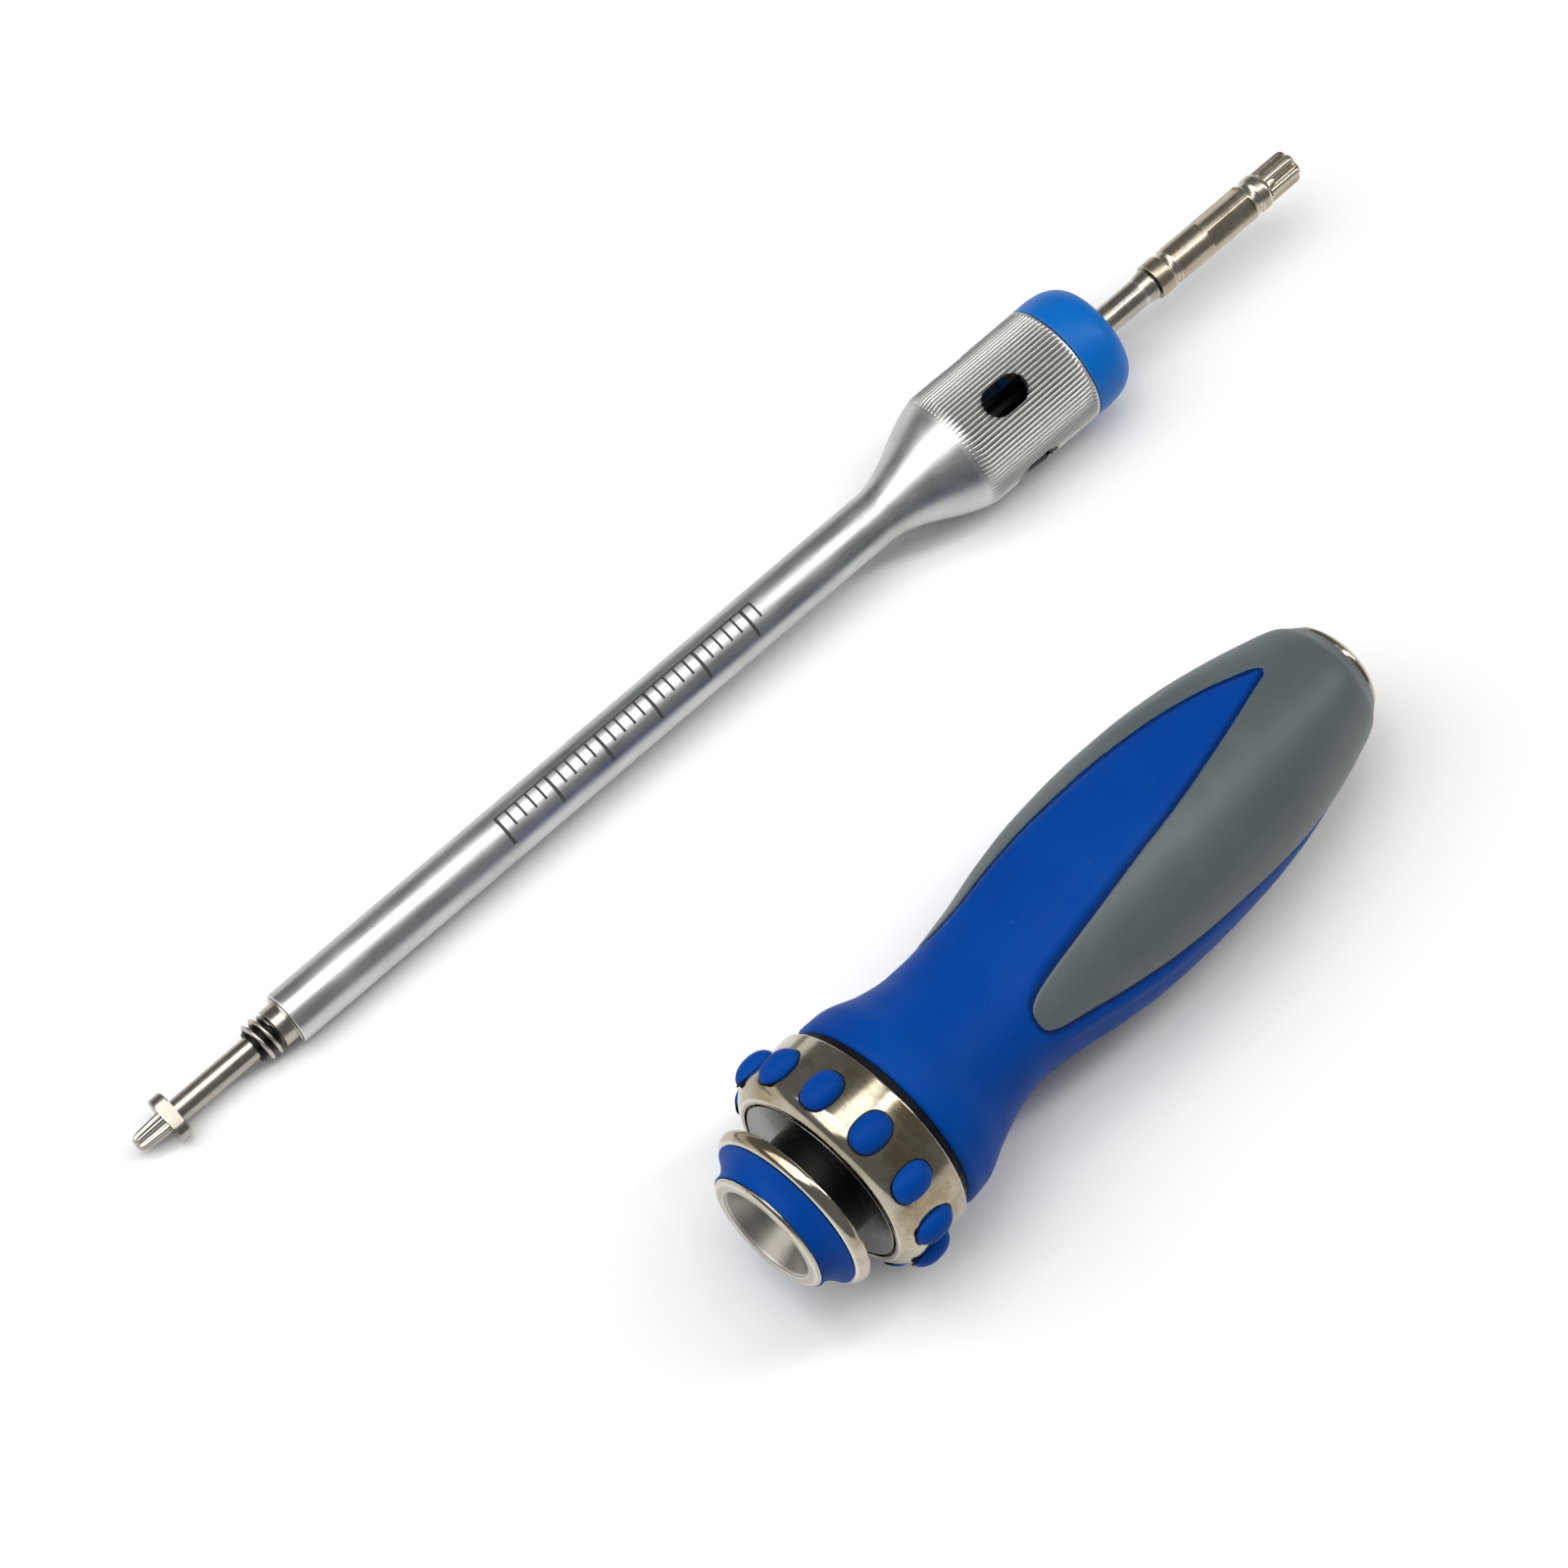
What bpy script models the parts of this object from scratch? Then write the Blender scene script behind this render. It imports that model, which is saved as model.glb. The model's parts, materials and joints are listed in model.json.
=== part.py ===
"""Ratcheting screwdriver: a two-colour grip with a quick coupling, and the long driver that plugs into it.

The two halves lie side by side on the surface z = 0. Stations and radii are in millimetres. Each half is
built along the local Z axis of its own frame: the handle from its mouth (0) to its rear cap, the driver from
its tip (0) to the end of its shank. Angles around an axis are in degrees from the upper side.
"""

from math import cos, pi, radians, sin

import bmesh
import bpy
from mathutils import Matrix, Vector

MM = 0.001
MERGE = 0.00001
FULL_TURN = 2 * pi

# Where the two halves lie: origin (x, y, z), heading about Z and how far the rear end rises, in degrees.
HANDLE_AT = (-71.726, -32.728, 20.03)
HANDLE_HEADING = 0.0
HANDLE_RISE = -1.60
DRIVER_AT = (-119.826, 48.772, 3.165)
DRIVER_HEADING = -4.21
DRIVER_RISE = 2.53

# Facets around round pieces.
FINE = 32
MEDIUM = 24
SMALL = 16
TINY = 8

# Grip.
GRIP_FRONT = 24.9
GRIP_REAR = 124.9
GRIP_KEYS = ((24.9, 17.45), (29.0, 17.15), (35.0, 15.0), (40.5, 13.6), (46.0, 13.15), (53.0, 13.85),
             (63.0, 15.75), (72.0, 16.85), (82.0, 17.2), (92.0, 16.85), (101.0, 15.9), (110.0, 14.1),
             (118.0, 11.95), (122.4, 10.5), (124.3, 9.1), (124.9, 8.7))
LOBE_KEYS = ((24.9, 0.0), (34.0, 0.05), (47.0, 0.75), (62.0, 0.6), (80.0, 0.55), (100.0, 0.3), (118.0, 0.1),
             (124.9, 0.0))
PETAL_ANGLE = 40.0
PETAL_PITCH = 120.0
PETAL_FRONT = 47.4
PETAL_KEYS = ((46.0, 2.0), (48.0, 10.3), (51.0, 15.6), (57.0, 20.4), (66.0, 25.4), (75.0, 29.7), (84.0, 33.2),
              (96.0, 40.4), (104.0, 47.2), (110.0, 54.2), (112.5, 59.6))
TONGUE_TIP = 112.5
PETAL_RISE = 0.25
PETAL_DEPTH = 2.0
PETAL_GAP = 0.3
CORE_TAIL = 7.2
CORE_PROFILE = ((24.9, 15.2), (29.0, 15.2), (36.0, 9.4), (108.0, 9.4), (111.0, CORE_TAIL))
FIT_GAP = 0.15

# Ratchet.
HUB_FACE = 11.7
HOUSING_FRONT = 13.3
HOUSING_REAR = 24.4
HOUSING_RADIUS = 15.9
CAVITY_FRONT = 15.7
CAVITY_REAR = 20.6
CAVITY_RADIUS = 14.3
GEAR_TEETH = 24
GEAR_TIP = 8.3
GEAR_ROOT = 7.3
GEAR_FRONT = 16.2
GEAR_REAR = 20.0
SHAFT_RADIUS = 5.6
PAWL_PIVOT_RADIUS = 11.6
PAWL_PIVOT_ANGLE = 67.0
PAWL_THICKNESS = 2.4
PIN_RADIUS = 0.85
DETENT_STATION = 22.4
DETENT_BALL = 1.2
SCREW_CIRCLE = 11.5

# Selector ring.
RING_FRONT = 11.7
RING_REAR = 23.3
RING_RADIUS = 18.05
STUDS = 12
STUD_STATION = 16.6
STUD_ANGLE = 15.0
STUD_TOP = 20.0
STUD_LENGTH = 7.6
STUD_WIDTH = 5.7

# Quick coupling.
MOUTH_RADIUS = 8.2
BORE_RADIUS = 3.35
SOCKET_END = 34.6
NOSE_RADIUS = 5.2
NECK_RADIUS = 9.0
POCKET_END = 14.8
BALLS = 3
BALL_RADIUS = 1.2
BALL_STATION = 6.0
BALL_SEAT = 4.05

# Driver.
TUBE_FRONT = 29.0
TUBE_RADIUS = 4.45
TUBE_BORE = 3.45
CUP_REAR = 188.0
CUP_RADIUS = 10.45
CAP_REAR = 197.0
ROD_RADIUS = 2.4
FRONT_ROD_RADIUS = 2.0
SHANK_FRONT = 209.2
SHANK_END = 240.4
SHANK_RADIUS = 3.12
WINDOWS = 4
WINDOW_STATION = 174.95
WINDOW_LENGTH = 8.3
WINDOW_WIDTH = 5.3
WINDOW_ANGLE = 13.0
KEY_ANGLE = 104.0
STOP_FRONT = 165.0
STOP_REAR = 169.0
STOP_RADIUS = 5.4


def clear_scene():
    """Empties the scene and gives the two collections."""
    for thing in list(bpy.data.objects):
        bpy.data.objects.remove(thing, do_unlink=True)
    parts = bpy.data.collections.new("screwdriver")
    cutters = bpy.data.collections.new("cutters")
    bpy.context.scene.collection.children.link(parts)
    bpy.context.scene.collection.children.link(cutters)
    return parts, cutters


PARTS, CUTTERS = clear_scene()


def frame(name, origin, heading, rise):
    """An empty whose +Z is an assembly's axis and whose +X points up."""
    empty = bpy.data.objects.new(name, None)
    empty.location = [value * MM for value in origin]
    empty.rotation_euler = (0.0, radians(rise - 90.0), radians(180.0 + heading))
    PARTS.objects.link(empty)
    return empty


HANDLE = frame("handle_frame", HANDLE_AT, HANDLE_HEADING, HANDLE_RISE)
DRIVER = frame("driver_frame", DRIVER_AT, DRIVER_HEADING, DRIVER_RISE)


def material(name, colour, roughness, metallic=0.0):
    made = bpy.data.materials.new(name)
    made.use_nodes = True
    shader = made.node_tree.nodes["Principled BSDF"]
    shader.inputs["Base Color"].default_value = (*colour, 1.0)
    shader.inputs["Roughness"].default_value = roughness
    shader.inputs["Metallic"].default_value = metallic
    return made


BLUE_SILICONE = material("blue_silicone", (0.005, 0.09, 0.42), 0.5)
GREY_SILICONE = material("grey_silicone", (0.11, 0.14, 0.155), 0.5)
POLISHED_STEEL = material("polished_steel", (0.60, 0.57, 0.51), 0.18, 1.0)
SATIN_STEEL = material("satin_steel", (0.52, 0.49, 0.44), 0.35, 1.0)
ALUMINIUM = material("satin_aluminium", (0.76, 0.77, 0.78), 0.3, 1.0)
BLUE_PLASTIC = material("blue_plastic", (0.0, 0.13, 0.60), 0.4)
BLACK_SEAL = material("black_seal", (0.01, 0.01, 0.012), 0.6)
BRONZE = material("bearing_bronze", (0.55, 0.38, 0.18), 0.4, 1.0)
SPRING_STEEL = material("spring_steel", (0.45, 0.45, 0.46), 0.3, 1.0)


# Shapes


def smooth_through(keys, at):
    """Value at a station on a smooth curve through (station, value) keys, with no overshoot."""
    if at <= keys[0][0]:
        return keys[0][1]
    for index in range(len(keys) - 1):
        start, end = keys[index], keys[index + 1]
        if at <= end[0]:
            slopes = [key_slope(keys, index), key_slope(keys, index + 1)]
            width = end[0] - start[0]
            t = (at - start[0]) / width
            rise = (2 * t**3 - 3 * t**2 + 1) * start[1] + (3 * t**2 - 2 * t**3) * end[1]
            return rise + width * ((t**3 - 2 * t**2 + t) * slopes[0] + (t**3 - t**2) * slopes[1])
    return keys[-1][1]


def key_slope(keys, index):
    """Slope at a key: the harmonic mean of its neighbours' slopes, or flat at a turning point."""
    def chord(first):
        return (keys[first + 1][1] - keys[first][1]) / (keys[first + 1][0] - keys[first][0])

    if index == 0:
        return chord(0)
    if index == len(keys) - 1:
        return chord(index - 1)
    before, after = chord(index - 1), chord(index)
    if before * after <= 0:
        return 0.0
    return 2 * before * after / (before + after)


def arc(centre, radius, first, last, count=4):
    """Points (station, radius) on a circular arc, with angles in degrees from the +station direction."""
    step = (last - first) / count
    angles = [radians(first + step * index) for index in range(count + 1)]
    return [(centre[0] + radius * cos(angle), centre[1] + radius * sin(angle)) for angle in angles]


def add_object(name, data, parent, finish=None, collection=None):
    thing = bpy.data.objects.new(name, data)
    (collection or PARTS).objects.link(thing)
    thing.parent = parent
    if finish:
        data.materials.append(finish)
    return thing


def shade(mesh, crease=35.0):
    mesh.shade_smooth()
    mesh.set_sharp_from_angle(angle=radians(crease))


def screw(thing, sides):
    turn = thing.modifiers.new("turn", "SCREW")
    turn.axis = "Z"
    turn.angle = FULL_TURN
    turn.steps = sides
    turn.render_steps = sides
    turn.use_merge_vertices = True
    turn.merge_threshold = MERGE
    turn.use_smooth_shade = True


def turned(name, outer, finish, parent, sides=SMALL, inner=None, blind=False, collection=None):
    """A turned piece. outer and inner are (station, radius) points from front to rear; a blind bore opens
    at the front and ends on the axis."""
    down = [(radius, station) for station, radius in reversed(outer)]
    up = [(radius, station) for station, radius in inner or []]
    if blind:
        path = [(0.0, down[0][1])] + down + up + [(0.0, up[-1][1])]
    elif inner:
        path = down + up
    else:
        path = [(0.0, down[0][1])] + down + [(0.0, down[-1][1])]
    mesh = bpy.data.meshes.new(name)
    count = len(path)
    edges = [(index, index + 1) for index in range(count - 1)]
    if inner and not blind:
        edges.append((count - 1, 0))
    mesh.from_pydata([(radius * MM, 0.0, station * MM) for radius, station in path], edges, [])
    thing = add_object(name, mesh, parent, finish, collection)
    screw(thing, sides)
    return thing


def ring_piece(name, front, rear, inner, outer, finish, parent, sides=SMALL):
    """A plain ring or bush with square edges."""
    return turned(name, [(front, outer), (rear, outer)], finish, parent, sides, [(front, inner), (rear, inner)])


def lofted(name, stations, radius_at, finish, parent, sides=SMALL, inner_at=None, collection=None,
           inner_stations=None):
    """A closed form through rings of points whose radius follows the station and the angle."""
    form = bmesh.new()

    def loop(station, radius_of):
        points = []
        for index in range(sides):
            angle = 360.0 * index / sides
            radius = radius_of(station, angle) * MM
            points.append(form.verts.new((radius * cos(radians(angle)), radius * sin(radians(angle)),
                                          station * MM)))
        return points

    rows = [loop(station, radius_at) for station in stations]
    if inner_at:
        rows += [loop(station, inner_at) for station in reversed(inner_stations or stations)]
        rows.append(rows[0])
    else:
        form.faces.new(list(reversed(rows[0])))
        form.faces.new(rows[-1])
    for first, second in zip(rows, rows[1:]):
        for index in range(sides):
            after = (index + 1) % sides
            form.faces.new((first[index], first[after], second[after], second[index]))
    bmesh.ops.triangulate(form, faces=form.faces, quad_method="FIXED")
    mesh = bpy.data.meshes.new(name)
    form.to_mesh(mesh)
    form.free()
    shade(mesh)
    return add_object(name, mesh, parent, finish, collection)


def flat_plate(name, outlines, front, rear, finish, parent, place=(0.0, 0.0), collection=None):
    """A flat piece square to the axis: its first outline is the edge, any others are holes."""
    curve = bpy.data.curves.new(name, "CURVE")
    curve.dimensions = "2D"
    curve.fill_mode = "BOTH"
    curve.extrude = (rear - front) / 2 * MM
    for outline in outlines:
        spline = curve.splines.new("POLY")
        spline.points.add(len(outline) - 1)
        for point, (x, y) in zip(spline.points, outline):
            point.co = (x * MM, y * MM, 0.0, 1.0)
        spline.use_cyclic_u = True
    thing = add_object(name, curve, parent, finish, collection)
    thing.location = (place[0] * MM, place[1] * MM, (front + rear) / 2 * MM)
    return thing


def circle(radius, sides, centre=(0.0, 0.0), phase=0.0):
    angles = [radians(phase + 360.0 * index / sides) for index in range(sides)]
    return [(centre[0] + radius * cos(angle), centre[1] + radius * sin(angle)) for angle in angles]


def polar(radius, angle):
    return radius * cos(radians(angle)), radius * sin(radians(angle))


def along_axis(angle):
    """Turns a piece built on +Z into one that stands on the axis's side, at an angle around it."""
    return Matrix.Rotation(radians(angle), 4, "Z") @ Matrix.Rotation(pi / 2, 4, "Y")


def cylinder_solid(form, radius, start, end, matrix, sides=TINY):
    """Adds a closed cylinder on +Z from start to end, then places it."""
    height = (end - start) * MM
    made = bmesh.ops.create_cone(form, cap_ends=True, segments=sides, radius1=radius * MM, radius2=radius * MM,
                                 depth=height)
    bmesh.ops.translate(form, verts=made["verts"], vec=(0.0, 0.0, (start + end) / 2 * MM))
    bmesh.ops.transform(form, verts=made["verts"], matrix=matrix)


def box_solid(form, low, high, matrix):
    """Adds a closed box between two corners, then places it."""
    made = bmesh.ops.create_cube(form, size=1.0)
    size = [(top - bottom) * MM for bottom, top in zip(low, high)]
    middle = [(top + bottom) / 2 * MM for bottom, top in zip(low, high)]
    bmesh.ops.scale(form, verts=made["verts"], vec=size)
    bmesh.ops.translate(form, verts=made["verts"], vec=middle)
    bmesh.ops.transform(form, verts=made["verts"], matrix=matrix)


def capsule_outline(length, width, steps=6):
    """Points of a flat outline with straight sides and round ends, long along X."""
    half, radius = (length - width) / 2, width / 2
    outline = []
    for side in (1, -1):
        for step in range(steps + 1):
            angle = radians(-90.0 + 180.0 * step / steps)
            outline.append((side * (half + radius * cos(angle)), side * radius * sin(angle)))
    return outline


def prism_solid(form, outline, low, high, matrix):
    """Adds a closed prism on +Z between two heights, then places it."""
    bottom = [form.verts.new(matrix @ Vector((x * MM, y * MM, low * MM))) for x, y in outline]
    top = [form.verts.new(matrix @ Vector((x * MM, y * MM, high * MM))) for x, y in outline]
    form.faces.new(list(reversed(bottom)))
    form.faces.new(top)
    for index in range(len(outline)):
        after = (index + 1) % len(outline)
        form.faces.new((bottom[index], bottom[after], top[after], top[index]))


def solid_from(name, build, parent, finish=None, collection=None):
    """One object from the closed solids that build adds to a bmesh."""
    form = bmesh.new()
    build(form)
    bmesh.ops.triangulate(form, faces=form.faces, quad_method="FIXED")
    mesh = bpy.data.meshes.new(name)
    form.to_mesh(mesh)
    form.free()
    shade(mesh)
    return add_object(name, mesh, parent, finish, collection)


def cutter(name, build, parent):
    return as_cutter(solid_from(name, build, parent, collection=CUTTERS))


def as_cutter(thing):
    thing.hide_render = True
    thing.display_type = "WIRE"
    return thing


def join_or_cut(thing, tool, operation="DIFFERENCE"):
    change = thing.modifiers.new(tool.name, "BOOLEAN")
    change.operation = operation
    change.object = tool
    change.solver = "EXACT"


def coil(name, radius, wire, start, end, turns, finish, parent, matrix=Matrix.Identity(4)):
    """A compression spring on +Z as a round wire, with flat-lying end turns left out."""
    curve = bpy.data.curves.new(name, "CURVE")
    curve.dimensions = "3D"
    curve.bevel_depth = wire * MM
    curve.bevel_resolution = 0
    curve.use_fill_caps = True
    per_turn = 8
    count = int(turns * per_turn)
    spline = curve.splines.new("POLY")
    spline.points.add(count)
    for index, point in enumerate(spline.points):
        angle = FULL_TURN * index / per_turn
        height = start + (end - start) * index / count
        point.co = (radius * MM * cos(angle), radius * MM * sin(angle), height * MM, 1.0)
    thing = add_object(name, curve, parent, finish)
    thing.matrix_local = matrix
    return thing


def ball(name, radius, centre_radius, station, angle, parent):
    """A steel ball whose origin is at its centre."""
    def build(form):
        bmesh.ops.create_uvsphere(form, u_segments=TINY, v_segments=TINY // 2, radius=radius * MM)

    thing = solid_from(name, build, parent, POLISHED_STEEL)
    x, y = polar(centre_radius, angle)
    thing.location = (x * MM, y * MM, station * MM)
    return thing


# Grip


def grip_radius(station, angle):
    """Outer radius of the blue body: round at both ends, with three soft lobes between."""
    lobe = smooth_through(LOBE_KEYS, station) * cos(radians(3 * (angle - PETAL_ANGLE)))
    return smooth_through(GRIP_KEYS, station) + lobe


def tongue_solids(form, clearance):
    """Three wedges over the blue tongues between the grey petals, narrower by a clearance on each side."""
    near, far = 6.0, 24.0
    stations = [45.0, 48.0, 51.0, 57.0, 66.0, 76.0, 88.0, 98.0, 106.0, TONGUE_TIP]
    for number in range(3):
        middle = PETAL_ANGLE + PETAL_PITCH * (number + 0.5)
        rows = []
        for station in stations:
            shrink = clearance / (smooth_through(GRIP_KEYS, station) * radians(1.0))
            half = max(PETAL_PITCH / 2 - smooth_through(PETAL_KEYS, station) - shrink, 0.2)
            corners = [(near, -half), (far, -half), (far, half), (near, half)]
            rows.append([form.verts.new((*[value * MM for value in polar(radius, middle + turn)], station * MM))
                         for radius, turn in corners])
        form.faces.new(list(reversed(rows[0])))
        form.faces.new(rows[-1])
        for first, second in zip(rows, rows[1:]):
            for index in range(4):
                after = (index + 1) % 4
                form.faces.new((first[index], first[after], second[after], second[index]))


def build_grips():
    """Blue over-moulded body with three pockets, and the grey petals that join around the rear end."""
    blue_rear = 121.0
    stations = [24.9, 29.0, 32.5, 36.0, 41.0, 47.0, 55.0, 64.0, 74.0, 84.0, 95.0, 105.0, 113.0, blue_rear]
    core_stations = [station for station, radius in CORE_PROFILE] + [blue_rear]
    over_core = dict(CORE_PROFILE)

    def blue_bore(station, angle):
        return over_core.get(station, CORE_TAIL) + FIT_GAP

    blue = lofted("grip_blue", stations, grip_radius, BLUE_SILICONE, HANDLE, FINE, blue_bore,
                  inner_stations=core_stations)
    grey_stations = [PETAL_FRONT, 55.0, 64.0, 74.0, 84.0, 95.0, 105.0, 113.0, 121.2, 121.5, 123.6, GRIP_REAR]

    def petal_top(station, angle):
        return grip_radius(station, angle) + PETAL_RISE

    def petal_bottom(station, angle):
        if station >= 121.5:
            return CORE_TAIL + FIT_GAP
        return grip_radius(station, angle) - PETAL_DEPTH

    grey = lofted("grip_grey", grey_stations, petal_top, GREY_SILICONE, HANDLE, FINE, petal_bottom)
    join_or_cut(grey, cutter("tongues", lambda form: tongue_solids(form, 0.0), HANDLE))

    def pocket_top(station, angle):
        return grip_radius(station, angle) + 3.0

    def pocket_bottom(station, angle):
        return grip_radius(station, angle) - PETAL_DEPTH - PETAL_GAP

    pocket_stations = [PETAL_FRONT - PETAL_GAP] + grey_stations[1:8] + [blue_rear + 2.0]
    pockets = as_cutter(lofted("petal_pockets", pocket_stations, pocket_top, None, HANDLE, FINE,
                               pocket_bottom, CUTTERS))
    join_or_cut(pockets, cutter("narrow_tongues", lambda form: tongue_solids(form, PETAL_GAP), HANDLE))
    join_or_cut(blue, pockets)


def build_core():
    """Metal core that carries the grip: a flange for the ratchet housing and a tube to the rear cap."""
    outer = list(CORE_PROFILE) + [(124.7, CORE_TAIL)]
    inner = [(24.9, 7.6), (47.0, 7.6), (48.5, 6.2), (124.7, 6.2)]
    core = turned("handle_core", outer, ALUMINIUM, HANDLE, MEDIUM, inner)

    def screw_holes(form):
        for number in range(3):
            x, y = polar(SCREW_CIRCLE, 120.0 * number)
            cylinder_solid(form, 1.15, 24.0, 28.4, Matrix.Translation((x * MM, y * MM, 0.0)))

    join_or_cut(core, cutter("core_screw_holes", screw_holes, HANDLE))


def build_rear_cap():
    """Domed steel plug in the rear of the core, and its seal ring."""
    spigot, groove = 6.0, 5.3
    rim = [(125.05, 8.45)] + arc((126.3, 7.45), 1.0, 90.0, 30.0, 3) + [(127.6, 5.0)]
    outer = [(112.0, spigot), (118.0, spigot), (118.0, groove), (119.4, groove), (119.4, spigot),
             (125.05, spigot)] + rim
    turned("end_cap", outer, POLISHED_STEEL, HANDLE, MEDIUM)
    ring_piece("end_cap_seal", 118.15, 119.25, groove + 0.1, 6.08, BLACK_SEAL, HANDLE, MEDIUM)


# Ratchet housing and what it holds


def build_housing():
    """Steel drum that holds the bearings, pawls and detent; the selector ring turns around it."""
    outer = [(HOUSING_FRONT, HOUSING_RADIUS), (HOUSING_REAR, HOUSING_RADIUS)]
    inner = [(HOUSING_FRONT, 10.55), (CAVITY_FRONT, 10.55), (CAVITY_FRONT, CAVITY_RADIUS),
             (CAVITY_REAR, CAVITY_RADIUS), (CAVITY_REAR, 6.95), (HOUSING_REAR, 6.95)]
    housing = turned("ratchet_housing", outer, SATIN_STEEL, HANDLE, FINE, inner)

    def holes(form):
        for side in (1, -1):
            x, y = polar(PAWL_PIVOT_RADIUS, side * PAWL_PIVOT_ANGLE)
            cylinder_solid(form, PIN_RADIUS + 0.1, 14.8, 22.8, Matrix.Translation((x * MM, y * MM, 0.0)))
            slot = Matrix.Rotation(radians(side * 56.0), 4, "Z")
            box_solid(form, (13.0, -2.3, GEAR_FRONT), (18.0, 2.3, GEAR_REAR), slot)
        for number in range(3):
            x, y = polar(SCREW_CIRCLE, 120.0 * number)
            cylinder_solid(form, 1.15, 20.0, 25.0, Matrix.Translation((x * MM, y * MM, 0.0)))
        place = Matrix.Translation((0.0, 0.0, DETENT_STATION * MM)) @ along_axis(180.0)
        cylinder_solid(form, DETENT_BALL + 0.15, 10.5, 18.0, place)

    join_or_cut(housing, cutter("housing_holes", holes, HANDLE))


def build_housing_screws():
    """Three cap screws that hold the housing to the core."""
    head_height = 1.7
    for number in range(3):
        outer = [(CAVITY_REAR - 0.15 - head_height, 1.8), (CAVITY_REAR - 0.15, 1.8), (CAVITY_REAR - 0.15, 1.0),
                 (28.2, 1.0)]
        screw_piece = turned(f"housing_screw_{number + 1}", outer, SATIN_STEEL, HANDLE, TINY)
        x, y = polar(SCREW_CIRCLE, 120.0 * number)
        screw_piece.location = (x * MM, y * MM, 0.0)


def gear_outline():
    """Symmetric ratchet teeth, with a tooth centred on the upper side."""
    points = []
    pitch = 360.0 / GEAR_TEETH
    for tooth in range(GEAR_TEETH):
        middle = tooth * pitch
        for radius, turn in ((GEAR_ROOT, -0.36), (GEAR_TIP, -0.14), (GEAR_TIP, 0.14), (GEAR_ROOT, 0.36)):
            points.append(polar(radius, middle + turn * pitch))
    return points


def pawl_outline(side):
    """Pawl about its pivot: a boss, a nose held just clear of the teeth and a tail for the ring's cam."""
    def from_pivot(radius, turn):
        x, y = polar(radius, side * (PAWL_PIVOT_ANGLE + turn))
        centre = polar(PAWL_PIVOT_RADIUS, side * PAWL_PIVOT_ANGLE)
        return x - centre[0], y - centre[1]

    nose = [from_pivot(11.1, 24.0), from_pivot(9.6, 33.0), from_pivot(8.72, 32.9), from_pivot(8.72, 31.1),
            from_pivot(9.5, 25.0), from_pivot(9.9, 8.0)]
    under = [from_pivot(10.2, -7.0), from_pivot(12.4, -10.0)]
    tail = [from_pivot(15.2, -13.5), from_pivot(15.2, -8.0), from_pivot(13.3, -3.0), from_pivot(13.25, 6.0)]
    outline = nose + under + tail
    return outline if side < 0 else list(reversed(outline))


def build_pawls():
    """Forward and reverse pawl, each with its pivot pin and the torsion coil that steadies it."""
    for side, label in ((1, "forward"), (-1, "reverse")):
        pivot = polar(PAWL_PIVOT_RADIUS, side * PAWL_PIVOT_ANGLE)
        front = GEAR_FRONT + 0.3
        hole = circle(PIN_RADIUS + 0.1, TINY)
        flat_plate(f"pawl_{label}", [pawl_outline(side), hole], front, front + PAWL_THICKNESS, SATIN_STEEL,
                   HANDLE, pivot)
        pin = turned(f"pawl_pin_{label}", [(15.0, PIN_RADIUS), (22.6, PIN_RADIUS)], POLISHED_STEEL, HANDLE, TINY)
        pin.location = (pivot[0] * MM, pivot[1] * MM, 0.0)
        place = Matrix.Translation((pivot[0] * MM, pivot[1] * MM, 0.0))
        coil(f"pawl_spring_{label}", 1.3, 0.17, front + PAWL_THICKNESS + 0.25, CAVITY_REAR - 0.25, 2.5,
             SPRING_STEEL, HANDLE, place)


def build_detent():
    """Spring-loaded ball that clicks into the selector ring's three notches."""
    centre = 14.85
    ball("detent_ball", DETENT_BALL, centre, DETENT_STATION, 180.0, HANDLE)
    place = Matrix.Translation((0.0, 0.0, DETENT_STATION * MM)) @ along_axis(180.0)
    coil("detent_spring", 0.85, 0.16, 10.8, centre - DETENT_BALL - 0.2, 4, SPRING_STEEL, HANDLE, place)


def build_bearings():
    ring_piece("front_bearing", HOUSING_FRONT + 0.05, CAVITY_FRONT - 0.1, NECK_RADIUS + 0.1, 10.4, BRONZE, HANDLE,
               MEDIUM)
    ring_piece("rear_bush", CAVITY_REAR + 0.1, HOUSING_REAR, SHAFT_RADIUS + 0.1, 6.8, BRONZE, HANDLE, MEDIUM)
    ring_piece("front_seal", 23.6, 24.7, HOUSING_RADIUS + 0.1, 16.9, BLACK_SEAL, HANDLE, FINE)


# Selector ring


def stud_outline_matrix(number):
    """Places a stud's +Z along the radius, with its +X along the handle."""
    angle = radians(STUD_ANGLE + 360.0 / STUDS * number)
    turn = Matrix.Rotation(angle, 4, "Z") @ Matrix.Rotation(pi / 2, 4, "Y")
    return Matrix.Translation((0.0, 0.0, STUD_STATION * MM)) @ turn


def oval_frustum(form, length, width, low, high, shrink, matrix, sides=TINY):
    """Adds an oval plug on +Z that narrows towards its top."""
    made = bmesh.ops.create_cone(form, cap_ends=True, segments=sides, radius1=0.5, radius2=0.5 * shrink, depth=1.0)
    bmesh.ops.translate(form, verts=made["verts"], vec=(0.0, 0.0, 0.5))
    bmesh.ops.scale(form, verts=made["verts"], vec=(length * MM, width * MM, (high - low) * MM))
    bmesh.ops.translate(form, verts=made["verts"], vec=(0.0, 0.0, low * MM))
    bmesh.ops.transform(form, verts=made["verts"], matrix=matrix)


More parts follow.
